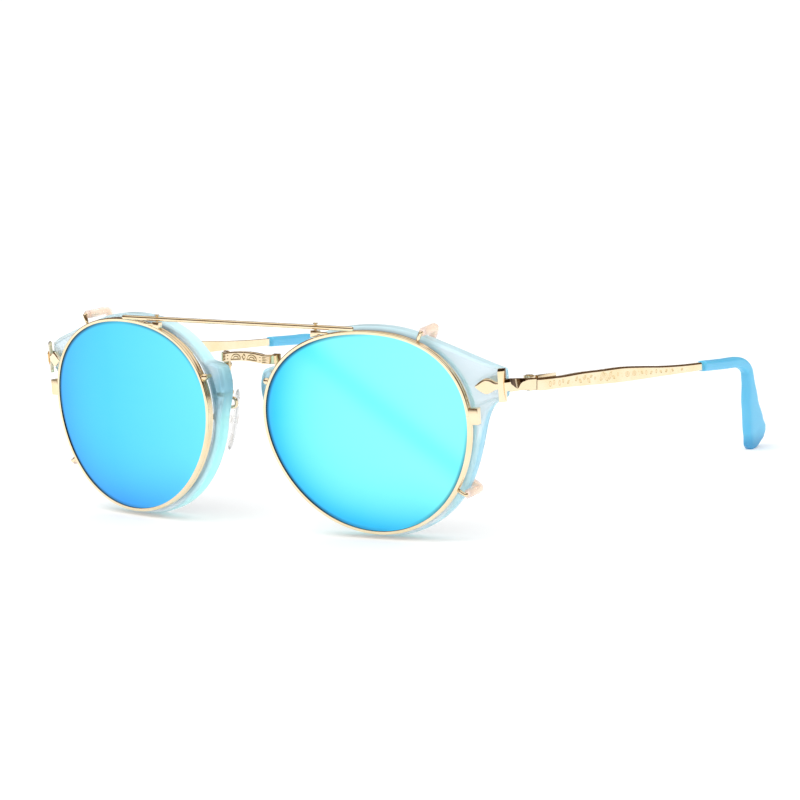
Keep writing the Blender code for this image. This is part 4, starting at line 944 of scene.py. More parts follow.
def screw_tree():
    """A slotted screw on each point, which says how it faces, how it is turned and how big it is."""
    tree, given = new_tree("slotted_screws", Sides=28, Slot_Width=0.26, Slot_Depth=0.55)
    sizes = {"Vertices": given["Sides"], "Side Segments": 4, "Radius": 1.0, "Depth": 1.0}
    blank = result(tree, "GeometryNodeMeshCylinder", sizes, fill_type="NGON")
    place = result(tree, "GeometryNodeInputPosition")
    height = add_node(tree, "ShaderNodeSeparateXYZ", inputs={0: place}).outputs["Z"]
    crown = ramp(tree, height, 0.1, 0.5, 1.0, 0.78, "SMOOTHSTEP")
    rim = result(tree, "ShaderNodeCombineXYZ", {"X": crown, "Y": crown, "Z": 1.0})
    domed = result(tree, "ShaderNodeVectorMath", {0: place, 1: rim}, operation="MULTIPLY")
    head = result(tree, "GeometryNodeSetPosition", {"Geometry": blank, "Position": domed})
    sizes = {"X": 3.0, "Y": given["Slot Width"], "Z": given["Slot Depth"]}
    slot = result(tree, "GeometryNodeMeshCube", {"Size": result(tree, "ShaderNodeCombineXYZ", sizes)})
    slot = result(tree, "GeometryNodeTransform", {"Geometry": slot, "Translation": (0, 0, 0.5)})
    head = result(tree, "GeometryNodeMeshBoolean", {"Mesh 1": head, "Mesh 2": slot}, operation="DIFFERENCE")
    sizes = {"Vertices": 16, "Side Segments": 1, "Radius": 1.0, "Depth": 1.0}
    rod = result(tree, "GeometryNodeMeshCylinder", sizes, fill_type="NGON")
    spots = result(tree, "GeometryNodeMeshToPoints", {"Mesh": given["Geometry"]})
    axis = carried(tree, "axis", "FLOAT_VECTOR")
    facing = result(tree, "FunctionNodeAlignRotationToVector", {"Vector": axis}, axis="Z")
    inputs = {"Axis": (0, 0, 1), "Angle": carried(tree, "turn")}
    inputs = {"Rotation": facing, "Rotate By": result(tree, "FunctionNodeAxisAngleToRotation", inputs)}
    turned = result(tree, "FunctionNodeRotateRotation", inputs, rotation_space="LOCAL")
    together = tree.nodes.new("GeometryNodeJoinGeometry")
    for shape, size in ((head, "head"), (rod, "shank")):
        lowered = result(tree, "GeometryNodeTransform", {"Geometry": shape, "Translation": (0, 0, -0.5)})
        inputs = {"Points": spots, "Instance": lowered, "Rotation": turned}
        inputs["Scale"] = carried(tree, size, "FLOAT_VECTOR")
        part = result(tree, "GeometryNodeInstanceOnPoints", inputs)
        tree.links.new(part, together.inputs["Geometry"])
    return end_tree(tree, together.outputs["Geometry"], given["Surface"])


WIRE = wire_tree()
EYEWIRE = eyewire_tree()
ENGRAVING = engraving_tree()
SCREWS = screw_tree()


def polyline(lines):
    """A mesh of edges along each line of points."""
    points = [tuple(point) for line in lines for point in line]
    edges = []
    first = 0
    for line in lines:
        edges += [(first + k, first + k + 1) for k in range(len(line) - 1)]
        first += len(line)
    mesh = bpy.data.meshes.new("lines")
    mesh.from_pydata(points, edges, [])
    return mesh


def wire(route, radius, surface, round_ends=True):
    """A drawn wire along a route, its ends rounded over or cut square."""
    route = [Vector(point) for point in route]
    girths = [radius] * len(route)
    if round_ends:
        for end in (0, -1):
            tip = route[end]
            inner = route[1] if end == 0 else route[-2]
            way = (tip - inner).normalized()
            extra = []
            for turn in (20, 40, 60, 75, 86):
                a = math.radians(turn)
                extra.append((tip + way * (radius * (math.sin(a) - 1)), radius * math.cos(a)))
            base = tip - way * radius
            places = [place for place, _ in extra]
            sizes = [size for _, size in extra]
            if end == 0:
                route = [*reversed(places), base, *route[1:]]
                girths = [*reversed(sizes), radius, *girths[1:]]
            else:
                route = [*route[:-1], base, *places]
                girths = [*girths[:-1], radius, *sizes]
    mesh = polyline([route])
    carry(mesh, "girth", girths)
    return grown(mesh, WIRE, surface=surface)


def merged(meshes):
    """One mesh of several finished ones."""
    if len(meshes) == 1:
        return meshes[0]
    whole = bmesh.new()
    surfaces = []
    for mesh in meshes:
        start = len(whole.faces)
        whole.from_mesh(mesh)
        whole.faces.ensure_lookup_table()
        slots = []
        for surface in mesh.materials:
            if surface not in surfaces:
                surfaces.append(surface)
            slots.append(surfaces.index(surface))
        for face in whole.faces[start:]:
            face.material_index = slots[face.material_index] if slots else 0
    made = bpy.data.meshes.new("piece")
    whole.to_mesh(made)
    whole.free()
    for surface in surfaces:
        made.materials.append(surface)
    made.set_sharp_from_angle(angle=SMOOTH_ANGLE)
    return made


def screws(name, body, nodes, places):
    """One piece of slotted screws.

    A place is the head's top, the way out of it, its radius and height, the shank's radius and length,
    the slot's turn, and the side.
    """
    tops = []
    axes = []
    heads = []
    shanks = []
    turns = []
    for top, way, head_radius, head_height, shank_radius, length, turn, side in places:
        flip = Vector((side, 1, 1))
        tops.append(STANDING @ (top * flip))
        axes.append(STANDING.to_3x3() @ (way * flip))
        heads.append((head_radius, head_radius, head_height))
        shanks.append((shank_radius, shank_radius, length))
        turns.append(math.radians(turn))
    mesh = bpy.data.meshes.new("places")
    mesh.from_pydata([tuple(top) for top in tops], [], [])
    carry(mesh, "axis", axes, "FLOAT_VECTOR")
    carry(mesh, "head", heads, "FLOAT_VECTOR")
    carry(mesh, "shank", shanks, "FLOAT_VECTOR")
    carry(mesh, "turn", turns)
    made = grown(mesh, SCREWS, surface=SCREW)
    made.shade_smooth()
    made.set_sharp_from_angle(angle=SMOOTH_ANGLE)
    made.transform(STANDING.inverted())
    return settle(name, made, 1, body, nodes)


def eased_copy(name, body, node, ease_width):
    """A CAD node's own shape with its edges eased, as a piece in its place."""
    shape = bmesh.new()
    shape.from_mesh(frame["nodes"][node].data)
    bmesh.ops.remove_doubles(shape, verts=shape.verts, dist=0.000002)
    bmesh.ops.dissolve_limit(shape, angle_limit=math.radians(2), verts=shape.verts, edges=shape.edges)
    mesh = bpy.data.meshes.new(name)
    shape.to_mesh(mesh)
    shape.free()
    holder = placed("holder", mesh)
    bevel = holder.modifiers.new("ease", "BEVEL")
    bevel.width = ease_width
    bevel.segments = 2
    bevel.limit_method = "ANGLE"
    bevel.angle_limit = math.radians(40)
    made = worked(holder)
    made.materials.clear()
    made.materials.append(GOLD)
    made.shade_smooth()
    made.set_sharp_from_angle(angle=SMOOTH_ANGLE)
    made.transform(STANDING.inverted())
    return settle(name, made, 1, body, [node])


# The plastic front


def line_share(values, line):
    """A share between 0 and 1 along a line of this slope and start."""
    slope, start = line
    return np.clip(values * slope + start, 0, 1)


def build_front(side, word):
    sections = [rounded(front_section(*station), FRONT_EASE) for station in front_stations()]
    mesh = mesh_of([loft(sections, ring=True)], ACETATE)
    normals = points_of(mesh, "normal")
    upwards = np.clip(normals @ np.array(EYE_UP), 0, 1)
    outwards = normals @ np.array(EYE_OUT)
    local = points_of(mesh) - np.array(EYE_CENTRE)
    rise = local @ np.array(EYE_UP) / LENS_HALF_HEIGHT
    inward = -local @ np.array(EYE_OUT) / LENS_HALF_WIDTH
    # A patch toward the nose, near the pad, takes painted shade and dulls the painted glow there
    socket = np.clip((inward - PAD_SHADE_START) / PAD_SHADE_FADE, 0, 1)
    socket *= np.exp(-(((rise - PAD_SHADE_RISE) / PAD_SHADE_SPREAD) ** 2))
    # Shares of painted light and shade: deeper aqua on the side walls, paler on the upward faces, shade on
    # the outward walls
    edge_on = line_share(np.abs(normals @ np.array(EYE_BACK)), EDGE_ON)
    carry(mesh, "edge_on", edge_on * (1 - TOP_DULLS * upwards))
    carry(mesh, "crown", line_share(upwards, CROWN_LIGHT))
    carry(mesh, "painted_flank_shade", line_share(outwards, FLANK_SHADE))
    # The walls facing toward the nose take a painted glow, dulled beside the pad
    carry(mesh, "painted_nasal_glow", line_share(outwards, NASAL_GLOW) * (1 - PAD_SHADE_DULLS * socket))
    carry(mesh, "pad_socket", socket)
    settle(f"acetate_front_{word}", mesh, side, "front", [f"front_rim_{word}"])
    edge = LENS_GROOVE - APERTURE_INSET - SEAT_GAP
    front = FRONT_DEPTH + (FRONT_THICKNESS - LENS_THICKNESS) / 2
    lens = mesh_of([lens_body(edge, front, LENS_THICKNESS, LENS_BULGE)], RESIN)
    settle(f"resin_lens_{word}", lens, side, "front", [f"clear_lens_{word}"])


def build_corner(side, word):
    """The corner strip: a leaf on the plastic, an upright bar, and an arm that turns back to the hinge."""
    half = PLATE_THICKNESS / 2
    bar_end = LUG_END + SEAT_GAP
    bar_start = bar_end - BAR_WIDTH
    leaf_start = bar_start - LEAF_LENGTH
    leaf_shares = ((0, 0.12, 0), (0.2, 0.6, 0), (0.45, 1, 0), (0.65, 0.9, 0), (0.85, 0.55, 0), (1, 0.48, 0))
    heights = []
    for share in smooth_route([Vector(shares) for shares in leaf_shares], 6):
        heights.append((leaf_start + LEAF_LENGTH * share.x, LEAF_HALF_HEIGHT * share.y))
    step = BAR_WIDTH * BAR_STEP_SHARE
    turned = bar_end - BAR_WIDTH * BAR_TURN_SHARE
    heights += [(bar_start + step, BAR_HALF_HEIGHT), (turned, BAR_HALF_HEIGHT)]
    sections = []
    for u, half_height in heights:
        centre = eye_point(u, PLATE_HEIGHT, front_face(u) - SEAT_GAP - half)
        bevel = (min(LEAF_BEVEL, half_height / 2), half / 2)
        sections.append(strip_section(centre, -EYE_BACK, EYE_UP, half, half_height, bevel))
    thin = half * BAR_EDGE_SHARE
    centre = eye_point(bar_end - step, PLATE_HEIGHT, front_face(bar_end) - SEAT_GAP - thin)
    bevel = (LEAF_BEVEL, half / 2)
    sections.append(strip_section(centre, -EYE_BACK, EYE_UP, thin, BAR_HALF_HEIGHT, bevel))
    stations = []
    depth_pivot = front_face(LUG_END) - SEAT_GAP - half + CORNER_RADIUS
    for turn in range(0, 91, 10):
        a = math.radians(turn)
        depth = depth_pivot - CORNER_RADIUS * math.cos(a)
        centre = eye_point(bar_end + half * math.sin(a), PLATE_HEIGHT, depth)
        stations.append((centre, EYE_OUT * math.sin(a) - EYE_BACK * math.cos(a), EYE_UP, half))
    butt = butt_place()
    outside = eye_point(LUG_END, PLATE_HEIGHT, back_face(LUG_END))
    bend = stations[-1][0]
    for k in range(1, 41):
        share = k / 40
        settled = ease(share * 2)
        x = max(butt.x, outside.x + SEAT_GAP + half) * (1 - settled) + butt.x * settled
        centre = Vector((x, bend.y + (butt.y - bend.y) * share, bend.z + (butt.z - bend.z) * share))
        stations.append((centre, OUT, UP, half + (TEMPLE_THICKNESS / 2 - half) * settled))
    scoop_shares = (
        (0, 0.26),
        (0.08, 0.48),
        (0.2, 0.74),
        (0.31, 0.88),
        (0.36, 0.8),
        (0.41, 0.48),
        (0.5, 0.3),
        (0.7, 0.16),
        (1, 0.12),
    )
    places, scoops = zip(*scoop_shares)
    for centre, shown, up, thick in stations:
        along = max(centre.y - bend.y, 0) / (butt.y - bend.y)
        height = 2 * ARM_HALF_HEIGHT * float(np.interp(along, places, scoops))
        bevel = (height, min(height * 0.35, thick * 0.9))
        sections.append(strip_section(centre, shown, up, thick, ARM_HALF_HEIGHT, bevel))
    mesh = mesh_of([loft(sections)], GOLD)
    scoop_end = bend.y + (butt.y - bend.y) * SCOOP_END_SHARE
    bar_turn = eye_point(turned, PLATE_HEIGHT, 0)
    # Faces facing up in the arm's scoop, and facing out beside the bar, take a painted dark brown reflection
    dark_reflection = []
    for face in mesh.polygons:
        above = (face.center - bend).dot(UP)
        in_scoop = bar_turn.x < face.center.x and face.center.y < scoop_end
        scooped = in_scoop and face.normal.dot(UP) > DARK_REFLECTION_UP
        beside_bar = above > ARM_HALF_HEIGHT and face.normal.dot(EYE_OUT) > DARK_REFLECTION_OUT
        dark_reflection.append(1.0 if scooped or beside_bar else 0.0)
    mesh.attributes.new("painted_dark_reflection", "FLOAT", "FACE").data.foreach_set("value", dark_reflection)
    settle(f"corner_strip_{word}", mesh, side, "front", [f"corner_plate_{word}"])


# Engraving


def arc(centre, radius, start, end, squash=1.0, count=14):
    """Points of an arc on a face: centre and points are (along, up)."""
    points = []
    for k in range(count):
        a = math.radians(start + (end - start) * k / (count - 1))
        points.append((centre[0] + radius * math.cos(a), centre[1] + radius * squash * math.sin(a)))
    return points


def dot(place, size=0.05):
    return [(place[0] - size, place[1]), (place[0] + size, place[1])]


def leaf(centre, length, tilt):
    """A pointed leaf with a rib down its middle."""
    a = math.radians(tilt)
    strokes = []
    for bow in (-0.24, 0, 0.24):
        line = []
        for k in range(9):
            t = k / 8 - 0.5
            swell = bow * (1 - 4 * t * t)
            x = length * (t * math.cos(a) - swell * math.sin(a))
            y = length * (t * math.sin(a) + swell * math.cos(a))
            line.append((centre[0] + x, centre[1] + y))
        strokes.append(line)
    return strokes


def temple_strokes():
    """The temple's engraving in millimetres: rosettes, loose leaves, a bow of leaves, ovals and seeds."""
    strokes = []
    for along, rise, radius in (
        (5.6, -0.1, 0.55),
        (7.2, 0.15, 0.45),
        (9.6, -0.15, 0.5),
        (11.1, 0.2, 0.35),
        (25.2, -0.1, 0.3),
        (35.6, 0.2, 0.35),
        (48.8, 0, 0.45),
        (53.6, 0.1, 0.4),
    ):
        strokes.append(arc((along, rise), radius, 0, 360))
        strokes.append(dot((along, rise)))
    for along, rise, length, tilt in (
        (13.4, -0.2, 1.1, 35),
        (17.0, 0.25, 1.3, 40),
        (18.6, -0.3, 1.4, -35),
        (20.6, 0.35, 1.5, 28),
        (22.4, -0.45, 1.7, -40),
        (23.5, 0.45, 1.1, 15),
        (28.4, 0.2, 2.5, 52),
        (30.2, -0.1, 2.5, -50),
        (32.1, 0.15, 2.3, 50),
        (33.7, -0.35, 1.3, -30),
        (46.8, 0.1, 1.2, -25),
        (51.2, -0.1, 1.2, 30),
        (55.8, -0.05, 1.1, -20),
        (58.4, 0, 1.1, 20),
        (61.4, 0.05, 1.1, -20),
        (66.0, 0, 1.0, 15),
    ):
        strokes += leaf((along, rise), length, tilt)
    for along, rise, radius in ((40.0, 0, 0.95), (43.2, 0.1, 0.85)):
        strokes.append(arc((along, rise), radius, 0, 360, 0.6, 24))
        strokes.append(arc((along, rise), radius * 0.5, 0, 360, 0.5))
    for along in (14.9, 19.6, 26.6, 37.2, 41.6, 45.1, 60.0, 63.6, 68.0):
        strokes.append(dot((along, 0.35)))
        strokes.append(dot((along + 0.5, -0.4)))
    return strokes


def bridge_strokes():
    """The bridge's engraving in millimetres from its middle: a lozenge, leaf arcs, paired dots and rays."""
    strokes = [[(-0.45, 0), (0, 0.7), (0.45, 0), (0, -0.7), (-0.45, 0)]]
    for way in (-1, 1):
        strokes.append(arc((2.35 * way, -0.45), 1.35, 0, 180, 0.75))
        strokes.append(arc((2.35 * way, -0.45), 0.75, 0, 180, 0.7))
        strokes.append([(1.0 * way, -0.62), (3.7 * way, -0.62)])
        for rise in (-0.4, 0.4):
            strokes.append(dot((4.75 * way, rise), 0.07))
        for k, rise in enumerate((0.55, 0.18, -0.18, -0.55)):
            strokes.append([(5.5 * way, rise), ((6.4 + 0.15 * (k % 2)) * way, rise)])
    return strokes


def engraved(mesh, strokes, depth):
    """The mesh with grooves along these lines of points."""
    lines = placed("strokes", polyline(strokes))
    sizes = {"groove_half_width": GROOVE_HALF_WIDTH, "groove_depth": depth}
    made = grown(mesh, ENGRAVING, strokes=lines, surface=GOLD, **sizes)
    bpy.data.objects.remove(lines)
    return made


def build_temple(side, word):
    """The engraved strip, which ends short of the tip.

    The CAD's temple has a round core that reaches into the tip. It isn't drawn here.
    """
    # Shares of the strip's length, of its height and of how far its middle hangs
    shares = (
        (0, 0.76, 0.04),
        (0.03, 0.80, 0.07),
        (0.115, 0.78, 0.04),
        (0.211, 0.90, 0),
        (0.297, 0.95, 0),
        (0.392, 1.0, -0.02),
        (0.488, 0.87, 0),
        (0.584, 0.69, 0.03),
        (0.691, 0.58, 0.03),
        (0.782, 0.54, 0),
    )
    half = TEMPLE_THICKNESS / 2
    sections = []
    middles = []
    for share in smooth_route([Vector(s) for s in shares], 72):
        centre = temple_point(TEMPLE_LENGTH * share.x, -TEMPLE_HEIGHT * share.z)
        middles.append((TEMPLE_LENGTH * share.x, -TEMPLE_HEIGHT * share.z))
        half_height = TEMPLE_HEIGHT / 2 * share.y
        sections.append(strip_section(centre, OUT, UP, half, half_height, TEMPLE_BEVEL, STRIP_ROWS))
    alongs = [along for along, _ in middles]
    rises = [rise for _, rise in middles]
    strokes = []
    for stroke in temple_strokes():
        line = []
        for along, rise in stroke:
            middle = float(np.interp(along / 1000, alongs, rises))
            line.append(temple_point(along / 1000, middle + rise / 1000) + OUT * half)
        strokes.append(line)
    mesh = engraved(mesh_of([loft(sections)], GOLD), strokes, TEMPLE_GROOVE_DEPTH)
    settle(f"engraved_temple_{word}", mesh, side, f"temple_{word}", [f"temple_arm_{word}"])


def tip_route():
    start = temple_point(TEMPLE_LENGTH * SLEEVE_START_SHARE)
    bend = temple_point(TEMPLE_LENGTH)
    drop = (
        (0.11, -0.08, 0.0),
        (0.175, -0.225, 0.05),
        (0.275, -0.523, 0.3),
        (0.455, -0.83, 0.8),
        (0.54, -0.965, 1.0),
    )
    points = [start, start.lerp(bend, 0.5), bend.lerp(start, 0.1)]
    points += [bend + Vector((-TIP_TOE_IN * x, TIP_DROP * y, TIP_DROP * z)) for y, z, x in drop]
    return smooth_route(points, 12)


def build_tip(side, word):
    """The soft tip: a rounded tube that widens to a paddle behind the ear."""
    route = tip_route()
    shares = ((0, 0.95), (0.42, 1.0), (0.56, 1.2), (0.7, 2.0), (0.82, 3.0), (0.9, 3.5), (0.95, 3.2), (1, 2.0))
    sections = []
    last = len(route) - 1
    for i, point in enumerate(route):
        t = i / last
        for (a, low), (b, high) in zip(shares, shares[1:]):
            if a <= t <= b:
                width = SLEEVE_HALF_HEIGHT * (low + (high - low) * ease((t - a) / (b - a)))
                break
        along = (route[min(i + 1, last)] - route[max(i - 1, 0)]).normalized()
        up = along.cross(OUT) * -1
        across = up.cross(along)
        flatness = 0.65 - 0.23 * ease((t - 0.5) / 0.25)
        sections.append((point, across, up, SLEEVE_HALF_THICKNESS, width, along, flatness))
    rows = []
    for section, at_start in ((sections[0], True), (sections[-1], False)):
        point, across, up, thick, width, along, flatness = section
        way = -1 if at_start else 1
        ease_length = thick * (0.25 if at_start else 0.9)
        ends = []
        for turn in (0, 25, 50, 70, 84):
            a = math.radians(turn)
            shrink = math.cos(a) if not at_start else 1 - 0.25 * (1 - math.cos(a))
            place = point + along * (way * ease_length * (math.sin(a) - 1))
            ends.append(oval(place, across, up, thick * shrink, width * shrink, TIP_SIDES, flatness))
        rows.append(ends)
    body = []
    for point, across, up, thick, width, _, flatness in sections[1:-1]:
        body.append(oval(point, across, up, thick, width, TIP_SIDES, flatness))
    mesh = mesh_of([loft([*reversed(rows[0]), *body, *rows[1]])], TIP)
    # Painted shade on the lowest part of the tip, darker towards the bottom
    rise = points_of(mesh)[:, 2] - route[-1].z
    carry(mesh, "painted_heel_shade", np.clip(1 - rise / (2 * SLEEVE_HALF_THICKNESS), 0, 1) * 0.8)
    settle(f"soft_tip_{word}", mesh, side, f"temple_{word}", [f"tip_sleeve_{word}"])


def build_bridge():
    """The engraved band across the nose, turned back at both ends to a plate behind each shoulder."""
    depth = FRONT_BACK + SEAT_GAP + MOUNT_THICKNESS / 2
    plate = eye_point(mount_place(), MOUNT_TOP - BAND_HALF_HEIGHT, depth)
    half_span = plate.x
    reach = half_span - BAND_TURN
    half = []
    steps = 90
    for k in range(steps + 1):
        share = k / steps
        rise = BRIDGE_ARCH * (1 - share * share)
        half.append((Vector((reach * share, BRIDGE_DEPTH, BRIDGE_HEIGHT - BRIDGE_ARCH + rise)), -BACK))
    pivot = Vector((reach, BRIDGE_DEPTH + BAND_TURN, BRIDGE_HEIGHT - BRIDGE_ARCH))
    for turn in range(8, 91, 8):
        a = math.radians(turn)
        way = Vector((math.sin(a), -math.cos(a), 0))
        half.append((pivot + way * BAND_TURN, way))
    half.append((Vector((half_span, plate.y, plate.z)), OUT))
    flip = Vector((-1, 1, 1))
    sections = []
    for centre, across in [*[(c * flip, a * flip) for c, a in reversed(half[1:])], *half]:
        thick = BAND_HALF_THICKNESS
        sections.append(strip_section(centre, across, UP, thick, BAND_HALF_HEIGHT, BRIDGE_BEVEL, BAND_ROWS))
    strokes = []
    for stroke in bridge_strokes():
        line = []
        for along, rise in stroke:
            arch = BRIDGE_ARCH * (1 - min(abs(along / 1000 / reach), 1) ** 2)
            height = BRIDGE_HEIGHT - BRIDGE_ARCH + arch + rise / 1000
            line.append((along / 1000, BRIDGE_DEPTH - BAND_HALF_THICKNESS, height))
        strokes.append(line)
    band = engraved(mesh_of([loft(sections)], GOLD), strokes, BRIDGE_GROOVE_DEPTH)
    plates = []
    for side in (1, -1):
        height = MOUNT_TOP - MOUNT_BOTTOM
        shift = MOUNT_HALF_WIDTH * (1 - MOUNT_SHOWN_SHARE)
        centre = eye_point(mount_place() + shift, (MOUNT_TOP + MOUNT_BOTTOM) / 2, depth)
        sizes = (2 * MOUNT_HALF_WIDTH * MOUNT_SHOWN_SHARE, MOUNT_THICKNESS, height)
        made = mesh_of([box(centre, sizes, (EYE_OUT, EYE_BACK, EYE_UP), BOX_EASE)], GOLD)
        if side < 0:
            mirror(made)
        plates.append(made)
    settle("engraved_bridge", merged([band, *plates]), 1, "front", ["bridge"])


# Nose pads


def build_pad(side, word):
    across, up, skin = pad_axes()
    shape = bmesh.new()
    bmesh.ops.create_uvsphere(shape, u_segments=48, v_segments=28, radius=1)
    for vertex in shape.verts:
        share = vertex.co.z
        taper = 1 - 0.22 * share
        thick = vertex.co.y * PAD_HALF_THICKNESS
        if vertex.co.y < 0:
            thick *= 1 - 0.35 * (1 - vertex.co.x**2 - share**2)
        place = across * (vertex.co.x * PAD_HALF_WIDTH * taper)
        place += up * (share * PAD_HALF_HEIGHT)
        place += skin * thick
        vertex.co = PAD_PLACE + place
    pin = pad_pin_place()
    sizes = (2 * BOSS_HALF, 2 * BOSS_HALF, BOSS_LENGTH * 1.5)
    boss = box(pin + skin * (BOSS_LENGTH * 0.25), sizes, (across, up, skin), BOX_EASE)
    mesh = mesh_of([shape, boss], SILICONE)
    settle(f"silicone_pad_{word}", mesh, side, f"pad_{word}", [f"nose_pad_{word}"])
    reach = BOSS_HALF + FINE_GAP + CHEEK_THICKNESS
    top = pin - across * (reach + FINE_GAP + PAD_PIN_RADIUS * 0.8)
    place = (top, -across, PAD_PIN_RADIUS * 1.6, PAD_PIN_RADIUS, PAD_PIN_RADIUS, 2 * reach, 25, side)
    screws(f"pad_pin_{word}", f"pad_{word}", [f"pad_screw_{word}"], [place])


def build_pad_arm(side, word):
    """A bent wire from the plate behind the plastic, with a loop in it, to the fork round the pad's boss."""
    across, up, skin = pad_axes()
    pin = pad_pin_place()
    inner = BOSS_HALF + FINE_GAP
    outer = inner + CHEEK_THICKNESS
    back = -(BOSS_LENGTH / 2 + FINE_GAP + CHEEK_THICKNESS)
    front = BOSS_LENGTH * 0.45
    floor = back + CHEEK_THICKNESS
    plan = ((-outer, back), (outer, back), (outer, front), (inner, front), (inner, floor))
    plan = (*plan, (-inner, floor), (-inner, front), (-outer, front))
    corners = rounded([pin + across * a + skin * b for a, b in plan], FORK_EASE)
    levels = ((-1, 0.12), (-0.92, 0.03), (-0.8, 0), (0.8, 0), (0.92, 0.03), (1, 0.12))
    middle = pin + skin * (back / 2)
    sections = []
    for level, draw_in in levels:
        sections.append([p.lerp(middle, draw_in) + up * (BOSS_HALF * level) for p in corners])
    fork = mesh_of([loft(sections)], GOLD)
    seat = mount_place() + MOUNT_HALF_WIDTH / 2
    base = eye_point(seat, MOUNT_BOTTOM + 4.6 * SCREW_HEAD_RADIUS, MOUNT_BACK + FINE_GAP)
    end = pin + skin * back
    loop_shares = (
        (0.07, 0.15, -0.19),
        (0.11, 0.15, -0.49),
        (-0.11, 0.16, -0.59),
        (-0.10, 0.18, -0.81),
        (0.11, 0.11, -0.86),
        (0.32, 0.12, -0.99),
    )
    loop = [base + Vector(shares) * PAD_HALF_HEIGHT for shares in loop_shares]
    route = [base, base + BACK * (2 * PAD_WIRE_RADIUS), *loop, end - skin * BOSS_LENGTH, end]
    arm = merged([fork, wire(smooth_route(route, 10), PAD_WIRE_RADIUS, GOLD)])
    settle(f"pad_wire_{word}", arm, side, "front", [f"pad_arm_{word}"])


def build_rivet(side, word):
    """The domed head that holds the hinge's foot to the lug."""
    u = LUG_END - FOOT_WIDTH / 2 - PLATE_THICKNESS - FOOT_WIDTH * 0.2
    depth = back_face(LUG_END) + SEAT_GAP + LEAF_PLATE + FINE_GAP / 2
    start = depth + RIVET_HEAD_RADIUS / 2
    ends = [eye_point(u, PLATE_HEIGHT, start - RIVET_HEAD_RADIUS * 2 * k) for k in (0, 1)]
    dome = wire([ends[0], ends[0].lerp(ends[1], 0.5), ends[1]], RIVET_HEAD_RADIUS, GOLD)
    settle(f"rivet_{word}", dome, side, "front", [f"hinge_rivet_{word}"])


def claw_route(angle):
    turned_out = CLAW_RADIUS + CLAW_SLEEVE_WALL
    edge = rim_reach(angle) + 2 * SEAT_GAP + turned_out
    behind = FRONT_BACK + SEAT_GAP + turned_out + CLIP_FORWARD
    front = CLIP_RIM_DEPTH / 2
    lead = CLIP_RIM_WIDTH + SEAT_GAP
    hook = edge - turned_out - CLAW_GRIP
    plan = (
        (lead, front),
        (edge - CLAW_RADIUS, front),
        (edge, front + CLAW_RADIUS),
        (edge, (front + behind) / 2),
        (edge, behind - turned_out * 0.8),
        (edge - turned_out * 0.8, behind),
        (hook, behind),
    )
    points = []
    for offset, depth in plan:
        place, outward = clip_frame(angle, CLIP_RIM_WIDTH, depth)
        points.append(place + outward * (offset - CLIP_RIM_WIDTH))
    return points


def rim_reach(angle):
    origin = lens_edge(angle)
    normal = edge_normal(angle)
    best = rim_margin(angle)
    for point in lug_outline():
        along = (point - origin).dot(normal)
        beside = abs((point - origin).dot(Vector((-normal.y, normal.x))))
        if beside < 2 * (CLAW_RADIUS + CLAW_SLEEVE_WALL):
            best = max(best, along)
    return best


def build_claws(side, word):
    """Bent wires from the clip's eyewire round the plastic, each in a soft tube behind its first bend."""
    for level, angle in (("upper", UPPER_CLAW_ANGLE), ("lower", LOWER_CLAW_ANGLE)):
        route = claw_route(angle)
        bent = smooth_route(route, 8)
        claw = wire(bent, CLAW_RADIUS, GOLD)
        settle(f"claw_wire_{level}_{word}", claw, side, "clip", [f"claw_{level}_{word}"])
        tail = (route[-1] - route[-2]).normalized()
        skin = smooth_route([*route[2:], route[-1] + tail * (SEAT_GAP + CLAW_SLEEVE_WALL)], 8)
        tube = wire(skin, CLAW_RADIUS + CLAW_SLEEVE_WALL, VINYL)
        settle(f"claw_tube_{level}_{word}", tube, side, "clip", [f"claw_sleeve_{level}_{word}"])


# The clip


def clip_profile():
    """The eyewire's section, outwards and back: a groove for the lens, and a fine one between two beads."""
    width = CLIP_RIM_WIDTH
    depth = CLIP_RIM_DEPTH
    fine = CLIP_BEAD_GROOVE
    return (
        (0, 0),
        (0, CLIP_LIP),
        (CLIP_GROOVE, CLIP_LIP),
        (CLIP_GROOVE, depth - CLIP_LIP),
        (0, depth - CLIP_LIP),
        (0, depth),
        (width - fine, depth),
        (width, depth * 0.86),
        (width, depth * 0.60),
        (width - fine, depth * 0.5),
        (width, depth * 0.40),
        (width, depth * 0.14),
        (width - fine, 0),
    )


def build_eyewire(side, word):
    section = rounded([Vector((out, back, 0)) for out, back in reversed(clip_profile())], 0.0001, 2)
    drawn = placed("section", polyline([[*section, section[0]]]))
    parting = PARTING / 2 / LENS_HALF_HEIGHT
    rim = grown(
        polyline([[(0, 0, 0), (0, 0, 0.001)]]),
        EYEWIRE,
        half_width=LENS_HALF_WIDTH * CLIP_WIDTH_SHARE,
        half_height=LENS_HALF_HEIGHT,
        start=TAB_ANGLE + parting,
        sweep=2 * math.pi - 2 * parting,
        stations=RIM_STATIONS,
        section=drawn,
        surface=GOLD,
    )
    bpy.data.objects.remove(drawn)
    eye = Matrix((EYE_OUT, EYE_UP, -EYE_BACK)).transposed().to_4x4()
    rim.transform(Matrix.Translation(EYE_CENTRE) @ eye)
    rim.set_sharp_from_angle(angle=SMOOTH_ANGLE)
    edge = outline(TAB_ANGLE, CLIP_GROOVE)
    width = TAB_WIDTH * TAB_SHOWN_SHARE
    u = edge.x * CLIP_WIDTH_SHARE + FINE_GAP + width / 2
    sizes = (width, CLIP_RIM_DEPTH * TAB_DEPTH_SHARE, 2 * TAB_HALF_HEIGHT)
    tab = box(eye_point(u, edge.y, CLIP_RIM_DEPTH / 2), sizes, (EYE_OUT, EYE_BACK, EYE_UP), TAB_EASE)
    mesh = merged([rim, mesh_of([tab], GOLD)])
    settle(f"eyewire_{word}", mesh, side, "clip", [f"clip_rim_{word}"])


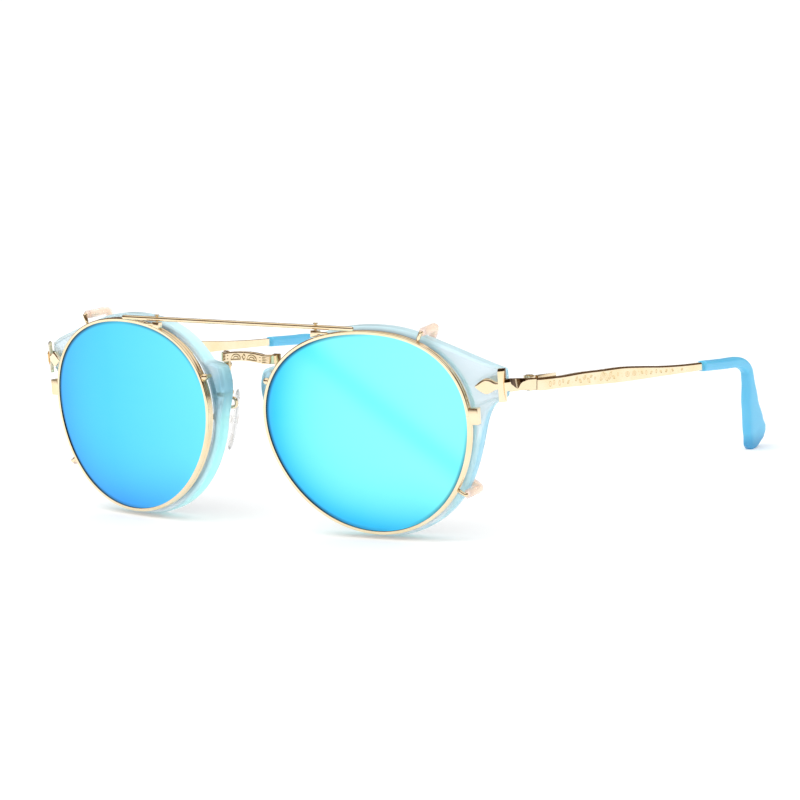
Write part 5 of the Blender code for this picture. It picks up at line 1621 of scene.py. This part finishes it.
def coat_shares(side, across, rise):
    """How much painted reflection lies on the coat at each point, pale, blue towards the edges and in a
    diagonal band, and how far the rim's lip shades it.
    """
    reach = np.sqrt(across**2 + rise**2)
    distance = np.maximum(reach, 0.01)
    toward = (-0.80 * across - 0.60 * rise) / distance
    # The two lenses carry different painted reflections: the left mostly aqua, the right pale with a diagonal
    # band
    if side < 0:
        thin = reach**3 * np.clip(0.35 + 0.85 * toward, 0, 1)
        pale_reflection = 0.08 + 0.28 * across
        band = 0 * reach
        sideways, upward = 0.5, 0.87
    else:
        thin = reach**7 * np.clip(0.1 + 0.85 * toward, 0, 1) * 0.9
        pale_reflection = 0.85 + 0.2 * across
        slant = 0.62 * across + 0.78 * rise - 0.28
        band = 0.35 * np.exp(-((slant / 0.13) ** 2)) + 1.2 * reach**4 * np.clip(0.3 + toward, 0, 1)
        sideways, upward = 0.85, -0.53
    rings = lens_shares()
    rings = np.repeat(rings + rings[::-1], EYE_STATIONS)
    shaded = np.clip((np.append(rings, (0, 0)) - LIP_SHADE_START) / LIP_SHADE_FADE, 0, 1)
    left = 0.25 - 1.3 * across / distance
    second = 3.2 * (sideways * across + upward * rise) / distance - 2.4
    shaded *= np.clip(np.maximum(left, second), 0, 1)
    return {"lip_shade": shaded, "coat_thin": thin, "coat_warmth": pale_reflection, "coat_band": band}


def build_mirror(side, word):
    front = CLIP_LIP + FINE_GAP / 4
    edge = CLIP_GROOVE - FINE_GAP
    lens = lens_body(edge, front, CLIP_LENS_THICKNESS, MIRROR_BULGE, CLIP_WIDTH_SHARE)
    lens = mesh_of([lens], MIRROR, SMOKE)
    for face in lens.polygons:
        face.material_index = 1 if face.normal.dot(EYE_BACK) > 0.5 else 0
    local = points_of(lens) - np.array(EYE_CENTRE)
    across = local @ np.array(EYE_OUT) * side / LENS_HALF_WIDTH
    rise = local @ np.array(EYE_UP) / LENS_HALF_HEIGHT
    for name, values in coat_shares(side, across, rise).items():
        carry(lens, name, np.clip(values, 0, 1))
    settle(f"mirror_glass_{word}", lens, side, "clip", [f"mirror_lens_{word}"])


def build_peg(side, word):
    """The short post with a wider foot that stops the clip from sliding."""
    offset = CLIP_RIM_WIDTH + SEAT_GAP + PEG_HEAD_RADIUS
    start = clip_frame(PEG_ANGLE, offset, 0)[0]
    end = clip_frame(PEG_ANGLE, offset, FRONT_DEPTH - SEAT_GAP + CLIP_FORWARD)[0]
    post = wire([start, start.lerp(end, 0.5), end], PEG_RADIUS, GOLD)
    foot = wire([start, start.lerp(end, 0.3), start.lerp(end, 0.62)], PEG_HEAD_RADIUS, GOLD)
    settle(f"nose_stop_{word}", merged([post, foot]), side, "clip", [f"nose_peg_{word}"])


def build_bar():
    bar, _ = bar_line()
    ends = [Vector((x, bar.y, bar.z)) for x in (-BAR_HALF_LENGTH, BAR_HALF_LENGTH)]
    route = [ends[0].lerp(ends[1], k / 40) for k in range(41)]
    settle("clip_bar", wire(route, BAR_RADIUS, GOLD), 1, "clip", ["top_bar"])


def clip_screw_places():
    places = []
    edge = outline(TAB_ANGLE, CLIP_GROOVE)
    u = edge.x * CLIP_WIDTH_SHARE + FINE_GAP + TAB_WIDTH * TAB_SHOWN_SHARE * 0.6
    bar, foot = bar_line()
    for side, _ in SIDES:
        low = eye_point(u, edge.y - TAB_HALF_HEIGHT, CLIP_RIM_DEPTH / 2)
        head = TAB_PIN_RADIUS * 0.4
        places.append((low, -EYE_UP, TAB_PIN_HEAD_RADIUS, head, TAB_PIN_RADIUS, TAB_HALF_HEIGHT, 40, side))
        top = bar + UP * (BAR_RADIUS + FINE_GAP + BLOCK_PIN_HEAD_HEIGHT)
        reach = (bar.z - foot.z) * 0.35 + 2 * BAR_RADIUS + BLOCK_PIN_HEAD_HEIGHT
        sizes = (BLOCK_PIN_HEAD_RADIUS, BLOCK_PIN_HEAD_HEIGHT, BLOCK_PIN_SHANK_RADIUS)
        places.append((top, UP, *sizes, reach, 65, side))
    return places


def front_screw_places():
    places = []
    back = MOUNT_BACK + FINE_GAP / 2
    u = mount_place() + MOUNT_HALF_WIDTH * (1 - MOUNT_SHOWN_SHARE)
    upper = MOUNT_TOP - 4.2 * SCREW_HEAD_RADIUS
    lower = MOUNT_BOTTOM + 1.6 * SCREW_HEAD_RADIUS
    length = SCREW_HEAD_HEIGHT + MOUNT_THICKNESS + SEAT_GAP + SCREW_DEPTH
    sizes = (SCREW_HEAD_RADIUS, SCREW_HEAD_HEIGHT, SCREW_RADIUS, length)
    for side, _ in SIDES:
        for v, turn in ((upper, 20), (lower, 75)):
            head = eye_point(u, v, back + SCREW_HEAD_HEIGHT)
            places.append((head, EYE_BACK, *sizes, turn * side, side))
    return places


def build_screws():
    words = [word for _, word in SIDES]
    nodes = [f"bridge_screw_{level}_{word}" for level in ("upper", "lower") for word in words]
    screws("front_screws", "front", nodes, front_screw_places())
    nodes = [f"{kind}_{word}" for kind in ("closing_screw", "bar_screw") for word in words]
    screws("clip_screws", "clip", nodes, clip_screw_places())
    head = PIN_HEAD_HEIGHT / 2
    top = hinge_place() + UP * (KNUCKLE_STACK / 2 + head)
    length = KNUCKLE_STACK + head
    for side, word in SIDES:
        place = (top, UP, PIN_HEAD_RADIUS, head, PIN_RADIUS, length, 30 * side, side)
        screws(f"temple_screw_{word}", f"temple_{word}", [f"hinge_screw_{word}"], [place])


def build_studio():
    """A pale floor, a soft light from above, and a white room that is dark in the metal's reflections."""
    floor = bpy.data.meshes.new("floor")
    size = 3.0
    corners = [(x * size, y * size, 0) for x, y in ((-1, -1), (1, -1), (1, 1), (-1, 1))]
    floor.from_pydata(corners, [], [(0, 1, 2, 3)])
    constants = {"Roughness": 0.9, "Specular_IOR_Level": 0.0, "Emission_Strength": 0.22}
    paper = toned("pale_paper", ("E8E8E8", "E6E7E8"), 40, Emission_Color=linear("FFFFFF"), **constants)
    floor.materials.append(paper)
    ground = placed("floor", floor)
    ground.location.z = -0.00005
    light = bpy.data.lights.new("overhead", "AREA")
    light.shape = "DISK"
    light.size = 0.9
    light.energy = 3.0
    lamp = placed("overhead", light)
    lamp.location = (-0.25, -0.35, 0.9)
    lamp.rotation_euler = (Vector((0, 0, 0)) - lamp.location).to_track_quat("-Z", "Y").to_euler()
    lamp.visible_glossy = False
    world = bpy.data.worlds.new("studio")
    scene = bpy.context.scene
    scene.world = world
    world.use_nodes = True
    tree = world.node_tree
    background = tree.nodes["Background"]
    place = add_node(tree, "ShaderNodeTexCoord").outputs["Generated"]
    height = add_node(tree, "ShaderNodeSeparateXYZ", inputs={0: place}).outputs["Z"]
    room = ramp(tree, height, 0.55, 0.8, 0.0, 1.0, "SMOOTHSTEP")
    above = ramp(tree, height, 0.03, 0.08, 0, 1)
    mirrored = blend(tree, room, blend(tree, above, "FFFFFF", "5A4632"), "FFFFFF")
    path = add_node(tree, "ShaderNodeLightPath").outputs
    outside = math_of(tree, "LESS_THAN", path["Transmission Depth"], 0.5)
    ray = math_of(tree, "MULTIPLY", path["Is Glossy Ray"], outside)
    feed(tree, background, Color=blend(tree, ray, "FFFFFF", mirrored))
    background.inputs["Strength"].default_value = 1.05
    scene.view_settings.view_transform = "Standard"


def away(turn, rise):
    """The way from the pair's middle to a place this far round it and this far up."""
    return Vector((math.sin(turn) * math.cos(rise), -math.cos(turn) * math.cos(rise), math.sin(rise)))


def build_camera():
    """The photograph's camera, worked out from where known points of the pair lie in it."""
    reach = away(CAMERA_AZIMUTH, CAMERA_ELEVATION)
    back = away(CAMERA_YAW, CAMERA_PITCH)
    right = Vector((math.cos(CAMERA_YAW), math.sin(CAMERA_YAW), 0))
    up = back.cross(right)
    rolled_right = right * math.cos(CAMERA_ROLL) + up * math.sin(CAMERA_ROLL)
    rolled_up = up * math.cos(CAMERA_ROLL) - right * math.sin(CAMERA_ROLL)
    turn = Matrix((rolled_right, rolled_up, back)).transposed()
    camera = placed("camera", bpy.data.cameras.new("camera"))
    camera.data.lens = CAMERA_LENS_MM
    camera.data.sensor_width = 36
    camera.data.clip_start = 0.01
    camera.data.clip_end = 20
    camera.matrix_world = STANDING @ (Matrix.Translation(reach * CAMERA_DISTANCE) @ turn.to_4x4())
    bpy.context.scene.camera = camera


build_studio()
build_camera()
build_bridge()
build_bar()
build_screws()
for side, word in SIDES:
    build_front(side, word)
    build_corner(side, word)
    build_temple(side, word)
    build_tip(side, word)
    build_pad(side, word)
    build_pad_arm(side, word)
    build_rivet(side, word)
    build_eyewire(side, word)
    build_mirror(side, word)
    build_peg(side, word)
    build_claws(side, word)
    eased_copy(f"hinge_front_leaf_eased_{word}", "front", f"hinge_front_leaf_{word}", LEAF_EASE)
    eased_copy(f"hinge_rear_leaf_eased_{word}", f"temple_{word}", f"hinge_rear_leaf_{word}", LEAF_EASE)
    eased_copy(f"bar_block_eased_{word}", "clip", f"bar_block_{word}", BLOCK_EASE)
